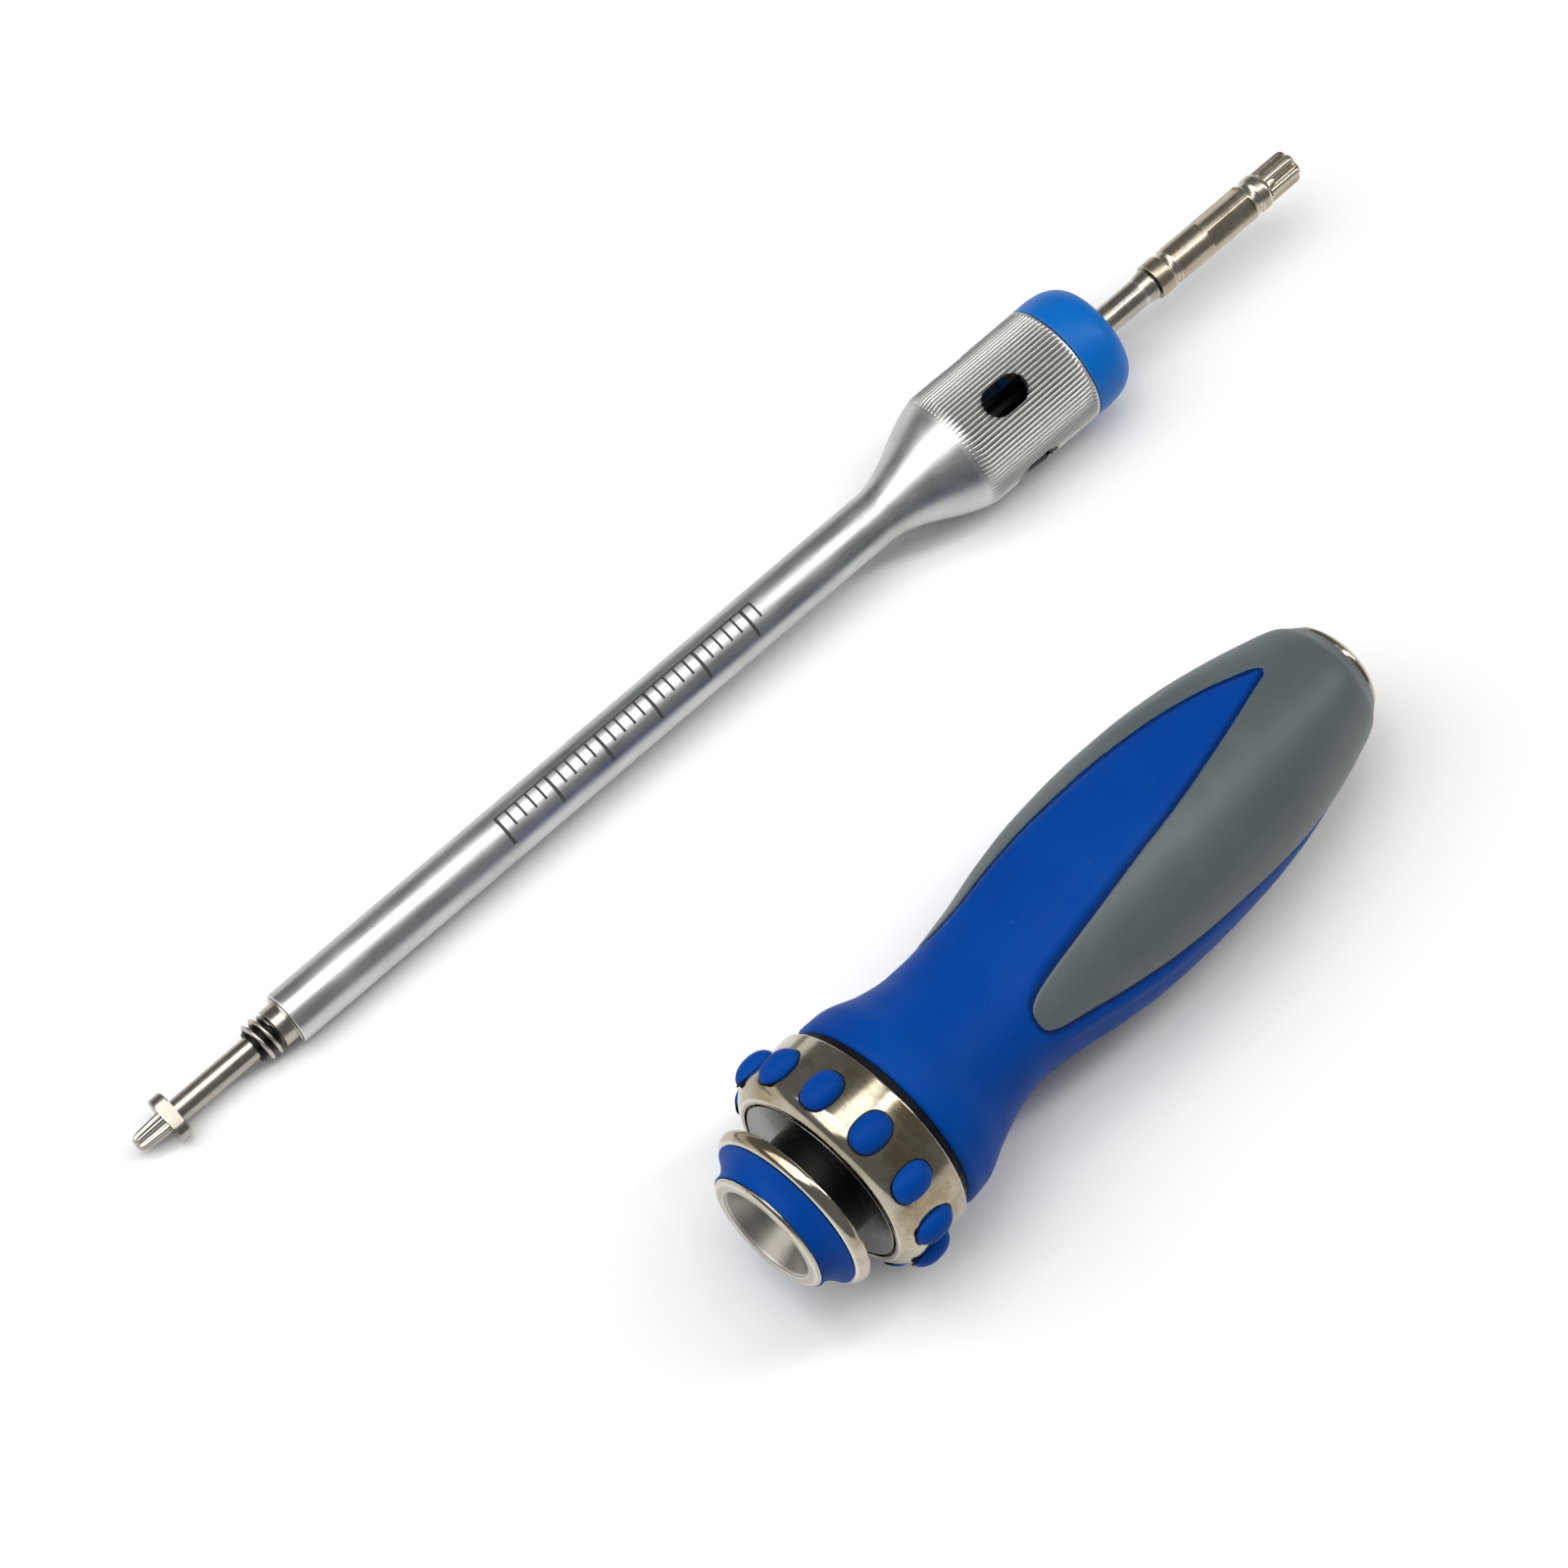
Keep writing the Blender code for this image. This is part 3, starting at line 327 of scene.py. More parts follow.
MATERIALS = {
    # The last colours of blue and grey silicone are painted shade for the seams and the petal edges.
    "blue_silicone": silicone("blue_silicone", (0.0, 0.043, 0.262), (0.0004, 0.055, 0.305),
                              (0.10, 0.22, 0.42), 0.50, 0.06, (0.0, 0.008, 0.05)),
    "grey_silicone": silicone("grey_silicone", (0.072, 0.094, 0.099), (0.098, 0.118, 0.124),
                              (0.28, 0.31, 0.32), 0.42, 0.4, (0.015, 0.03, 0.045)),
    # Polished steel: its warm brown areas are a painted reflection.
    "polished_steel": metal("polished_steel", (0.52, 0.48, 0.39), (0.40, 0.355, 0.27), 0.15, TURNED,
                            1700.0, 0.000003, (0.24, 0.17, 0.08), 0.7),
    "satin_steel": metal("satin_steel", (0.46, 0.43, 0.37), (0.36, 0.33, 0.28), 0.26, TURNED, 1500.0,
                         0.000004, half=DRIVER),
    # Satin aluminium: its pinkish areas are a painted reflection.
    "satin_aluminium": metal("satin_aluminium", (0.58, 0.59, 0.585), (0.48, 0.49, 0.485), 0.37, DRAWN,
                             1300.0, 0.000005, (0.44, 0.40, 0.38), 0.3, half=DRIVER),
    # Its speck colour also gives a painted sheen on the cap's marked edges.
    "blue_plastic": silicone("blue_plastic", (0.0, 0.112, 0.43), (0.001, 0.135, 0.50),
                             (0.12, 0.34, 0.60), 0.36, 0.16),
    "black_seal": silicone("black_seal", (0.003, 0.003, 0.004), (0.006, 0.006, 0.007),
                           (0.03, 0.03, 0.03), 0.5, 0.1),
    "bearing_bronze": metal("bearing_bronze", (0.55, 0.38, 0.18), (0.46, 0.31, 0.14), 0.35, TURNED,
                            1300.0, 0.000004),
    "spring_steel": metal("spring_steel", (0.48, 0.48, 0.49), (0.38, 0.38, 0.40), 0.25, DRAWN, 1300.0,
                          0.000003),
}
# Shank: its warm brown areas are a painted reflection.
SHANK_NICKEL = metal("shank_nickel", (0.50, 0.44, 0.35), (0.41, 0.36, 0.275), 0.27, TURNED, 1500.0,
                     0.000004, (0.30, 0.22, 0.12), 0.35, half=DRIVER)
# Bore steel: a rougher turned finish, its darker tone partly painted shade inside the collar's mouth.
BORE_STEEL = metal("bore_steel", (0.34, 0.32, 0.28), (0.25, 0.23, 0.20), 0.42, TURNED, 1300.0, 0.000006)
# Painted shade and painted dark reflection: the spindle's steel toned down where the collar shades it.
SHADED_HUB = metal("shaded_hub", (0.24, 0.235, 0.22), (0.17, 0.165, 0.155), 0.27, TURNED, 1500.0, 0.000003)
# Painted shade: near-black steel laid on the neck, the rod inside the cup, the cup's inner wall and the thread's
# roots.
PAINTED_SHADE_STEEL = metal("painted_shade_steel", (0.022, 0.021, 0.020), (0.012, 0.012, 0.012), 0.45, TURNED, 1500.0,
                    0.000003)
# Fluted cup: its dark own colour shows as painted shade in the flute grooves, and the crests take the painted
# highlight.
FLUTED = metal("fluted_aluminium", (0.33, 0.335, 0.33), (0.25, 0.255, 0.25), 0.40, DRAWN, 1300.0,
               0.000004, half=DRIVER, edge_highlight=0.6)
ETCH = silicone("etched_mark", (0.030, 0.030, 0.032), (0.055, 0.055, 0.058), (0.25, 0.25, 0.25), 0.6)


# Shapes


def smooth_through(keys, at):
    """Value at a station on a smooth curve through (station, value) keys, with no overshoot."""
    if at <= keys[0][0]:
        return keys[0][1]
    for index in range(len(keys) - 1):
        start, end = keys[index], keys[index + 1]
        if at <= end[0]:
            slopes = [key_slope(keys, index), key_slope(keys, index + 1)]
            width = end[0] - start[0]
            t = (at - start[0]) / width
            rise = (2 * t**3 - 3 * t**2 + 1) * start[1] + (3 * t**2 - 2 * t**3) * end[1]
            return rise + width * ((t**3 - 2 * t**2 + t) * slopes[0] + (t**3 - t**2) * slopes[1])
    return keys[-1][1]


def key_slope(keys, index):
    """Slope at a key: the harmonic mean of its neighbours' slopes, or flat at a turning point."""
    def chord(first):
        return (keys[first + 1][1] - keys[first][1]) / (keys[first + 1][0] - keys[first][0])

    if index == 0:
        return chord(0)
    if index == len(keys) - 1:
        return chord(index - 1)
    before, after = chord(index - 1), chord(index)
    if before * after <= 0:
        return 0.0
    return 2 * before * after / (before + after)


def ease(t):
    """0 to 1 with flat ends."""
    t = min(max(t, 0.0), 1.0)
    return t * t * (3 - 2 * t)


def rounded(corners, closed=True, steps=5):
    """Rounds the corners of an outline. A corner is (station, radius) or (station, radius, rounding).
    Gives (station, radius, edge) points, where edge is 1 on a small rounding, which is marked for painted light."""
    count = len(corners)
    points = []
    for index, corner in enumerate(corners):
        here = Vector(corner[:2])
        radius = corner[2] if len(corner) > 2 else 0.0
        at_end = not closed and index in (0, count - 1)
        if radius == 0.0 or at_end:
            points.append((here.x, here.y, 0.0))
            continue
        before = Vector(corners[index - 1][:2]) - here
        after = Vector(corners[(index + 1) % count][:2]) - here
        reach = min(radius, before.length * 0.48, after.length * 0.48)
        start, end = here + before.normalized() * reach, here + after.normalized() * reach
        for step in range(steps + 1):
            t = step / steps
            at = start * (1 - t) ** 2 + here * 2 * t * (1 - t) + end * t**2
            points.append((at.x, at.y, 4 * t * (1 - t) if radius < LIT_ROUNDING else 0.0))
    return points


def finish_mesh(form, name, crease=50.0):
    bmesh.ops.recalc_face_normals(form, faces=form.faces)
    mesh = bpy.data.meshes.new(name)
    form.to_mesh(mesh)
    form.free()
    mesh.shade_smooth()
    mesh.set_sharp_from_angle(angle=radians(crease))
    return mesh


def show(name, mesh, finish, half, body, replaces=()):
    """Puts a piece in the scene: its finish, its place on a half, its body and what it stands for."""
    mesh.transform(half)
    mesh.materials.append(finish)
    piece = bpy.data.objects.new(name, mesh)
    bpy.context.scene.collection.objects.link(piece)
    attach(piece, body)
    if replaces:
        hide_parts(*replaces)
    return piece


def second_finish(mesh, finish, chosen):
    """Gives another finish to some faces of a piece that is already shown."""
    mesh.materials.append(finish)
    for face, here in zip(mesh.polygons, chosen):
        face.material_index = int(here)


def near_axis(face, radius):
    """Whether a face lies within a radius of its own half's axis. For a piece that isn't placed yet."""
    return (face.center.x**2 + face.center.y**2) ** 0.5 < radius * MM


def circle(radius, station, sides):
    """A row of points around the axis."""
    return [(radius * cos(FULL_TURN * index / sides), radius * sin(FULL_TURN * index / sides), station)
            for index in range(sides)]


def grid_mesh(name, rows, edges=None, closed_around=True, closed_along=False, crease=50.0):
    """A skin through rows of points in millimetres. edges holds one painted-light value for each point."""
    form = bmesh.new()
    layer = form.verts.layers.float.new("edge")
    made = []
    for row_index, row in enumerate(rows):
        line = []
        for column, point in enumerate(row):
            vertex = form.verts.new([value * MM for value in point])
            if edges is not None:
                vertex[layer] = float(edges[row_index][column])
            line.append(vertex)
        made.append(line)
    pairs = list(zip(made, made[1:]))
    if closed_along:
        pairs.append((made[-1], made[0]))
    for first, second in pairs:
        count = len(first)
        for index in range(count if closed_around else count - 1):
            after = (index + 1) % count
            form.faces.new((first[index], first[after], second[after], second[index]))
    if closed_around and not closed_along:
        form.faces.new(list(reversed(made[0])))
        form.faces.new(made[-1])
    return finish_mesh(form, name, crease)


def turned_mesh(name, outline, sides=ROUND, radius_at=None):
    """A closed outline of (station, radius, edge) points turned about the axis. Points on the axis join up.
    radius_at gives the flutes: it returns the radius for a station, a radius and an angle, and its depth
    below the outline then takes the place of the edge value: painted highlight on crests, painted shade in
    grooves."""
    form = bmesh.new()
    layer = form.verts.layers.float.new("edge")
    rows = []
    for station, radius, edge in outline:
        if radius < 1e-6:
            tip = form.verts.new((0.0, 0.0, station * MM))
            tip[layer] = edge
            rows.append([tip])
            continue
        row = []
        for index in range(sides):
            angle = FULL_TURN * index / sides
            reach = radius_at(station, radius, angle) if radius_at else radius
            vertex = form.verts.new((reach * MM * cos(angle), reach * MM * sin(angle), station * MM))
            # With flutes, crests are marked 1 for a painted highlight and groove bottoms 0, which leaves them in
            # painted shade.
            vertex[layer] = 1 - (radius - reach) / FLUTE_DEPTH if radius_at else edge
            row.append(vertex)
        rows.append(row)
    for first, second in zip(rows, rows[1:] + rows[:1]):
        if len(first) == 1 and len(second) == 1:
            continue
        for index in range(sides):
            after = (index + 1) % sides
            corners = [first[index % len(first)], first[after % len(first)], second[after % len(second)],
                       second[index % len(second)]]
            unique = list(dict.fromkeys(corners))
            form.faces.new(unique)
    return finish_mesh(form, name)


def capsule_outline(length, width, steps=12):
    """Points of a flat outline with straight sides and round ends, long along X."""
    half, radius = (length - width) / 2, width / 2
    outline = []
    for side in (1, -1):
        for step in range(steps + 1):
            angle = radians(-90.0 + 180.0 * step / steps)
            outline.append((side * (half + radius * cos(angle)), side * radius * sin(angle)))
    return outline


def prism(form, outline, low, high, matrix):
    """Adds a closed prism on +Z between two heights, then places it."""
    bottom = [form.verts.new(matrix @ Vector((x * MM, y * MM, low * MM))) for x, y in outline]
    top = [form.verts.new(matrix @ Vector((x * MM, y * MM, high * MM))) for x, y in outline]
    form.faces.new(list(reversed(bottom)))
    form.faces.new(top)
    for index in range(len(outline)):
        after = (index + 1) % len(outline)
        form.faces.new((bottom[index], bottom[after], top[after], top[index]))


def carved(mesh, build, operation="DIFFERENCE"):
    """The mesh with the solids that build makes cut away or joined on. The tool is removed again."""
    form = bmesh.new()
    build(form)
    bmesh.ops.recalc_face_normals(form, faces=form.faces)
    tool_mesh = bpy.data.meshes.new("tool")
    form.to_mesh(tool_mesh)
    form.free()
    tool = bpy.data.objects.new("tool", tool_mesh)
    body = bpy.data.objects.new("carved", mesh)
    for thing in (tool, body):
        bpy.context.scene.collection.objects.link(thing)
    change = body.modifiers.new("carve", "BOOLEAN")
    change.operation = operation
    change.solver = "EXACT"
    change.object = tool
    seen = body.evaluated_get(bpy.context.evaluated_depsgraph_get())
    made = bpy.data.meshes.new_from_object(seen)
    made.shade_smooth()
    made.set_sharp_from_angle(angle=radians(40.0))
    for thing in (tool, body):
        bpy.data.objects.remove(thing)
    return made


def along_axis(angle):
    """Turns a piece built on +Z into one that stands on the axis's side, at an angle around it."""
    return Matrix.Rotation(radians(angle), 4, "Z") @ Matrix.Rotation(pi / 2, 4, "Y")


# Grip


def grip_radius(station, angle):
    """Radius of the blue body: round at both ends, with three soft lobes between."""
    lobe = smooth_through(LOBE_KEYS, station) * cos(radians(3 * (angle - PETAL_ANGLE)))
    return smooth_through(GRIP_KEYS, station) + lobe


def grip_tables(stations):
    """Radius and lobe at each station, so that a dense skin reads them once."""
    return ([smooth_through(GRIP_KEYS, station) for station in stations],
            [smooth_through(LOBE_KEYS, station) for station in stations])


def build_blue_grip():
    """Blue body: an over-moulded skin with a rolled front lip, a fine groove with painted shade where it meets
    the grey petals and a low ridge along each petal's nose."""
    steps, sides = 200, 192
    stations = [GRIP_FRONT + (SKIN_REAR - GRIP_FRONT) * step / steps for step in range(steps + 1)]
    radii, lobes = grip_tables(stations)
    halves = [smooth_through(PETAL_KEYS, station) if station < TONGUE_TIP else HALF_PITCH
              for station in stations]
    rows, edges = [], []
    front_lip = [(25.25, 15.6), (24.92, 15.9), (GRIP_FRONT, 16.6)]
    for station, radius in front_lip:
        rows.append(circle(radius, station, sides))
        edges.append([0.0] * sides)
    for station, radius, lobe, half in zip(stations, radii, lobes, halves):
        roll = 0.55 * (1 - ease((station - GRIP_FRONT) / 0.9))
        shoulder = ease((station - 47.0) / 9.0) * (1 - ease((station - 62.0) / 26.0))
        row, painted_light_marks = [], []
        for index in range(sides):
            angle = 360.0 * index / sides
            reach = radius + lobe * cos(radians(3 * (angle - PETAL_ANGLE))) - roll
            off = abs((angle - PETAL_ANGLE + HALF_PITCH) % PETAL_PITCH - HALF_PITCH)
            gap = (off - half) * radius * pi / 180
            if station > PETAL_FRONT and gap > 0:
                reach -= SEAM_DEPTH * (1 - ease(gap / SEAM_WIDTH))
                reach += RIDGE_HEIGHT * shoulder * ease(gap / 1.6) * (1 - ease((gap - 1.8) / 2.6))
            row.append((reach * cos(radians(angle)), reach * sin(radians(angle)), station))
            # Painted shade along the seam with each grey petal.
            painted_light_marks.append(1 - ease(gap / SEAM_SHADE_WIDTH) if station > PETAL_FRONT else 0.0)
        rows.append(row)
        edges.append(painted_light_marks)
    mesh = grid_mesh("grip_blue_skin", rows, edges, crease=70.0)
    show("grip_blue_skin", mesh, MATERIALS["blue_silicone"], HANDLE, "handle", ["grip_blue"])


def petal_outline(radii):
    """One edge of a petal, unrolled: (station, distance from the petal's middle) points."""
    points = []
    for step in range(261):
        station = PETAL_FRONT + (TONGUE_TIP - PETAL_FRONT) * (step / 260) ** 1.6
        points.append((station, smooth_through(PETAL_KEYS, station) * radii(station) * pi / 180))
    return np.array(points)


def build_grey_petals():
    """Grey petals that stand a little above the blue body, with soft edges darkened as painted shade, and join
    round the rear.
    """
    def radii(station):
        return smooth_through(GRIP_KEYS, station)

    outline = petal_outline(radii)
    nose_end, turn_in = 55.35, 122.6
    stations = [PETAL_FRONT + 8.0 * (step / 60) ** 1.8 for step in range(60)]
    stations += [nose_end + (TONGUE_TIP - nose_end) * step / 110 for step in range(110)]
    stations += [TONGUE_TIP + (turn_in - TONGUE_TIP) * step / 24 for step in range(24)]
    stations += [turn_in + 2.3 * step / 14 for step in range(15)]
    across = 44
    shares = [sin(pi / 2 * (-1 + 2 * step / across)) for step in range(across + 1)]
    for number in range(PETALS):
        middle = PETAL_ANGLE + PETAL_PITCH * number
        rows, edges = [], []
        for station in stations:
            half = smooth_through(PETAL_KEYS, station) if station < TONGUE_TIP else HALF_PITCH
            half = max(half, 0.05)
            radius = radii(station)
            closing = 1 - ease((station - TONGUE_TIP) / 1.6)
            row, painted_light_marks = [], []
            for share in shares:
                turn = half * share
                angle = middle + turn
                away = np.array((station, abs(turn) * radius * pi / 180))
                inset = float(np.sqrt(((outline - away) ** 2).sum(1)).min())
                drop = (1 - ease(inset / 0.75)) ** 1.6 * closing
                crown = 0.12 * ease(inset / 5.0)
                reach = (grip_radius(station, angle) + PETAL_RISE - 0.12 + crown
                         - drop * PETAL_EDGE_DEPTH)
                row.append((reach * cos(radians(angle)), reach * sin(radians(angle)), station))
                # Painted shade where the petal's edge drops down to the blue.
                painted_light_marks.append(0.35 * drop)
            rows.append(row)
            edges.append(painted_light_marks)
        for reach, station in ((8.2, 124.9), (7.6, 124.6)):
            turns = [middle + HALF_PITCH * share for share in shares]
            rows.append([(reach * cos(radians(turn)), reach * sin(radians(turn)), station)
                         for turn in turns])
            edges.append([0.0] * len(shares))
        mesh = grid_mesh(f"grip_petal_{number + 1}", rows, edges, closed_around=False, crease=70.0)
        thick = mesh_shell(mesh, 0.6)
        replaces = ["grip_grey"] if number == 0 else []
        show(f"grip_petal_{number + 1}", thick, MATERIALS["grey_silicone"], HANDLE, "handle", replaces)


def mesh_shell(mesh, thickness):
    """The skin given a thickness inwards, so that it is a closed form."""
    thing = bpy.data.objects.new("shell", mesh)
    bpy.context.scene.collection.objects.link(thing)
    shell = thing.modifiers.new("shell", "SOLIDIFY")
    shell.thickness = thickness * MM
    shell.offset = -1.0
    made = bpy.data.meshes.new_from_object(thing.evaluated_get(bpy.context.evaluated_depsgraph_get()))
    bpy.data.objects.remove(thing)
    return made


def build_rear_cap():
    """Domed steel plug at the rear of the grip."""
    outline = [(118.0, 0.0), (118.0, 6.0), (125.02, 6.0), (125.02, 8.4, 0.1), (125.9, 8.42, 0.35),
               (127.1, 6.9, 1.6), (127.58, 3.6, 2.0), (127.6, 0.0)]
    mesh = turned_mesh("end_cap_dome", rounded(outline, closed=False, steps=8))
    show("end_cap_dome", mesh, MATERIALS["polished_steel"], HANDLE, "handle", ["end_cap"])


# Selector ring


def build_ring():
    """Steel direction ring with a broad rounded front edge, and its oval studs, each ringed in black as painted
    shade at its foot.
    """
    outline = [(RING_FRONT + 0.02, 14.78, 0.15), (RING_FRONT + 0.02, 15.5, 0.5),
               (RING_FRONT + 0.9, 16.95, 1.3), (RING_FRONT + 2.3, RING_RADIUS - 0.02, 1.0),
               (RING_REAR, RING_RADIUS - 0.02, 0.3),
               (RING_REAR, 16.25, 0.1), (13.1, 16.25), (13.1, 14.78)]
    mesh = turned_mesh("selector_ring_shell", rounded(outline, steps=8), 192)
    show("selector_ring_shell", mesh, MATERIALS["polished_steel"], HANDLE, "selector", ["selector_ring"])
    for number in range(STUDS):
        angle = STUD_ANGLE + 360.0 / STUDS * number
        replaces = ["selector_studs"] if number == 0 else []
        mesh = stud_mesh(f"stud_{number + 1}", 1.0, 0.35, STUD_TOP - RING_RADIUS)
        place = HANDLE @ Matrix.Rotation(radians(angle), 4, "Z")
        show(f"stud_{number + 1}", mesh, MATERIALS["blue_silicone"], place, "selector", replaces)
        # Painted shade: a black ring laid at each stud's foot.
        shade_ring = stud_mesh(f"stud_shade_ring_{number + 1}", 1.07, 0.25, 0.02)
        show(f"stud_shade_ring_{number + 1}", shade_ring, MATERIALS["black_seal"], place, "selector")


def stud_mesh(name, size, sunk, height):
    """An oval dome on the ring's surface, on the upper side of the handle."""
    form = bmesh.new()
    form.verts.layers.float.new("edge")
    around, rings, fullness = 48, 14, 0.86
    rows = []
    for ring in range(rings + 1):
        share = sin(pi / 2 * ring / rings)
        row = []
        for index in range(around):
            turn = FULL_TURN * index / around
            along = STUD_LENGTH / 2 * size * share * copysign(abs(cos(turn)) ** fullness, cos(turn))
            side = STUD_WIDTH / 2 * size * share * copysign(abs(sin(turn)) ** fullness, sin(turn))
            reach = RING_RADIUS + height * max(1 - share**2.3, 0.0) ** 0.62
            angle = side / RING_RADIUS
            row.append((reach * cos(angle), reach * sin(angle), STUD_STATION + along))
        rows.append(row)
    bottom = [((RING_RADIUS - sunk) * x / RING_RADIUS, (RING_RADIUS - sunk) * y / RING_RADIUS, z)
              for x, y, z in rows[-1]]
    rows.append(bottom)
    centre = form.verts.new(((RING_RADIUS + height) * MM, 0.0, STUD_STATION * MM))
    made = []
    for row in rows[1:]:
        made.append([form.verts.new([value * MM for value in point]) for point in row])
    for index in range(around):
        form.faces.new((centre, made[0][index], made[0][(index + 1) % around]))
    for first, second in zip(made, made[1:]):
        for index in range(around):
            after = (index + 1) % around
            form.faces.new((first[index], second[index], second[after], first[after]))
    form.faces.new(made[-1])
    return finish_mesh(form, name, 60.0)


# Spindle and quick coupling


def build_spindle():
    """Nose with its socket, the neck and the disc that closes the front of the ratchet. The piece is darkened as
    painted shade and painted dark reflection, and the neck is painted near-black as shade.
    """
    outline = [(4.85, 5.15, 0.2), (14.7, 5.15), (14.7, 8.45), (7.7, 8.45), (7.7, 8.97), (11.75, 8.97),
               (11.75, 14.28, 0.08), (13.0, 14.28), (13.0, 8.9), (16.0, 8.9), (16.0, 5.55), (44.0, 5.55),
               (44.0, 0.0), (34.6, 0.0), (34.6, 3.35), (5.4, 3.35, 0.2), (4.85, 3.85, 0.1)]
    mesh = turned_mesh("spindle_body", rounded(outline))
    neck_shade = [near_axis(face, 9.6) for face in mesh.polygons]
    show("spindle_body", mesh, SHADED_HUB, HANDLE, "spindle", ["spindle"])
    second_finish(mesh, PAINTED_SHADE_STEEL, neck_shade)


def coil_mesh(name, radius, wire, start, end, turns):
    """A compression spring on +Z as a round wire."""
    per_turn, around = 28, 10
    steps = turns * per_turn
    rows = []
    for step in range(steps + 1):
        angle = FULL_TURN * step / per_turn
        height = start + (end - start) * step / steps
        row = []
        for index in range(around):
            turn = FULL_TURN * index / around
            reach = radius + wire * cos(turn)
            row.append((reach * cos(angle), reach * sin(angle), height + wire * sin(turn)))
        rows.append(row)
    return grid_mesh(name, rows, crease=60.0)


def build_springs():
    """The collar's spring and the detent's spring, as round-wire coils, each with a mesh of its own."""
    start, end, wire = 7.5, POCKET_END - 0.4, 0.3
    mesh = coil_mesh("collar_spring_wire", 6.6, wire, start, end, 4)
    piece = show("collar_spring_wire", mesh, MATERIALS["spring_steel"], HANDLE, "spindle", ["collar_spring"])
    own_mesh(piece)
    start, end, wire = 10.8, 13.45, 0.16
    place = HANDLE @ Matrix.Translation((0.0, 0.0, DETENT_STATION * MM)) @ along_axis(180.0)
    mesh = coil_mesh("detent_spring_wire", 0.85, wire, start, end, 4)
    piece = show("detent_spring_wire", mesh, MATERIALS["spring_steel"], place, "handle", ["detent_spring"])
    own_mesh(piece)


def build_collar():
    """Sliding collar: a flared mouth, a hollow waist for the blue band and a thick polished rim."""
    outline = [(0.36, 8.35, 0.3), (0.36, 9.75, 0.45), (0.95, 10.45, 0.3), (1.05, 10.05), (2.6, 10.3),
               (4.8, 12.6), (4.95, 13.5, 0.5), (5.55, 14.2, 0.9), (6.4, 14.52, 0.9), (7.1, 14.3, 0.6),
               (7.38, 13.4, 0.6),
               (7.38, 9.25, 0.2), (4.25, 9.25, 0.2), (4.25, 6.75, 0.2), (7.05, 6.75, 0.2), (7.05, 5.42, 0.2),
               (5.4, 5.42, 0.4), (3.8, 6.12, 1.2), (0.7, 8.05, 0.4)]
    mesh = turned_mesh("coupling_collar_body", rounded(outline, steps=6), 180)
    # The bore faces take the bore steel, darkened partly as painted shade.
    in_bore = [near_axis(face, 8.3) for face in mesh.polygons]
    show("coupling_collar_body", mesh, MATERIALS["polished_steel"], HANDLE, "collar", ["coupling_collar"])
    second_finish(mesh, BORE_STEEL, in_bore)
    waist = ((1.12, 10.62), (1.8, 10.66), (2.6, 10.95), (3.5, 11.65), (4.2, 12.45), (4.76, 13.25))
    stations = [1.12 + 3.64 * step / 16 for step in range(17)]
    band = [(1.12, 10.15, 0.1)] + [(station, smooth_through(waist, station)) for station in stations]
    band += [(4.78, 12.75), (2.6, 10.42)]
    mesh = turned_mesh("collar_band_skin", rounded(band, steps=6), 180)
    show("collar_band_skin", mesh, MATERIALS["blue_silicone"], HANDLE, "collar", ["collar_band"])


# Driver


def star_radius(small, large, lobes, angle):
    """Radius of a soft star at an angle."""
    return (small + large) / 2 + (large - small) / 2 * cos(lobes * angle)


def build_rod():
    """Drive rod, painted near-black inside the cup as painted shade, with its star tip and the cross key behind
    it.
    """
    outline = [(6.4, 0.0), (6.4, 1.95, 0.2), (36.5, 1.95), (38.0, 2.35), (IN_CUP[0], 2.35),
               (IN_CUP[1], 2.35), (206.5, 2.35, 0.4), (208.85, 2.72, 0.3), (208.95, 1.6), (213.8, 1.6),
               (213.8, 0.0)]
    mesh = turned_mesh("drive_rod_body", rounded(outline, closed=False), SMALL_ROUND)
    rod_shade_in_cup = [IN_CUP[0] * MM < face.center.z < IN_CUP[1] * MM for face in mesh.polygons]
    show("drive_rod_body", mesh, MATERIALS["satin_steel"], DRIVER, "driver", ["drive_rod"])
    second_finish(mesh, PAINTED_SHADE_STEEL, rod_shade_in_cup)
    rows, edges = [], []
    steps, sides = 36, 96
    for step in range(steps + 1):
        station = 6.6 * (step / steps) ** 1.5
        grow = min(station / 1.2, 1.0)
        size = 0.35 + 0.65 * (1 - (1 - grow) ** 2) ** 0.5 + 0.05 * station
        row = []
        for index in range(sides):
            angle = FULL_TURN * index / sides
            reach = min(size, 1.24) * star_radius(1.02, 1.47, 6, angle)
            row.append((reach * cos(angle), reach * sin(angle), station))
        rows.append(row)
        # Painted highlight on the star's lobes.
        edges.append([0.6 * max(cos(6 * FULL_TURN * index / sides), 0.0) for index in range(sides)])
    mesh = grid_mesh("star_tip", rows, edges)
    show("star_tip", mesh, MATERIALS["satin_steel"], DRIVER, "driver")
    form = bmesh.new()
    form.verts.layers.float.new("edge")
    prism(form, capsule_outline(7.95, 4.15), 5.42, 7.68, Matrix.Rotation(radians(KEY_ANGLE), 4, "Z"))
    rim = [edge for edge in form.edges if abs(edge.verts[0].co.z - edge.verts[1].co.z) < 1e-6]
    bmesh.ops.bevel(form, geom=rim, offset=0.22 * MM, segments=3, affect="EDGES")
    show("cross_key", finish_mesh(form, "cross_key", 40.0), MATERIALS["satin_steel"], DRIVER, "driver")


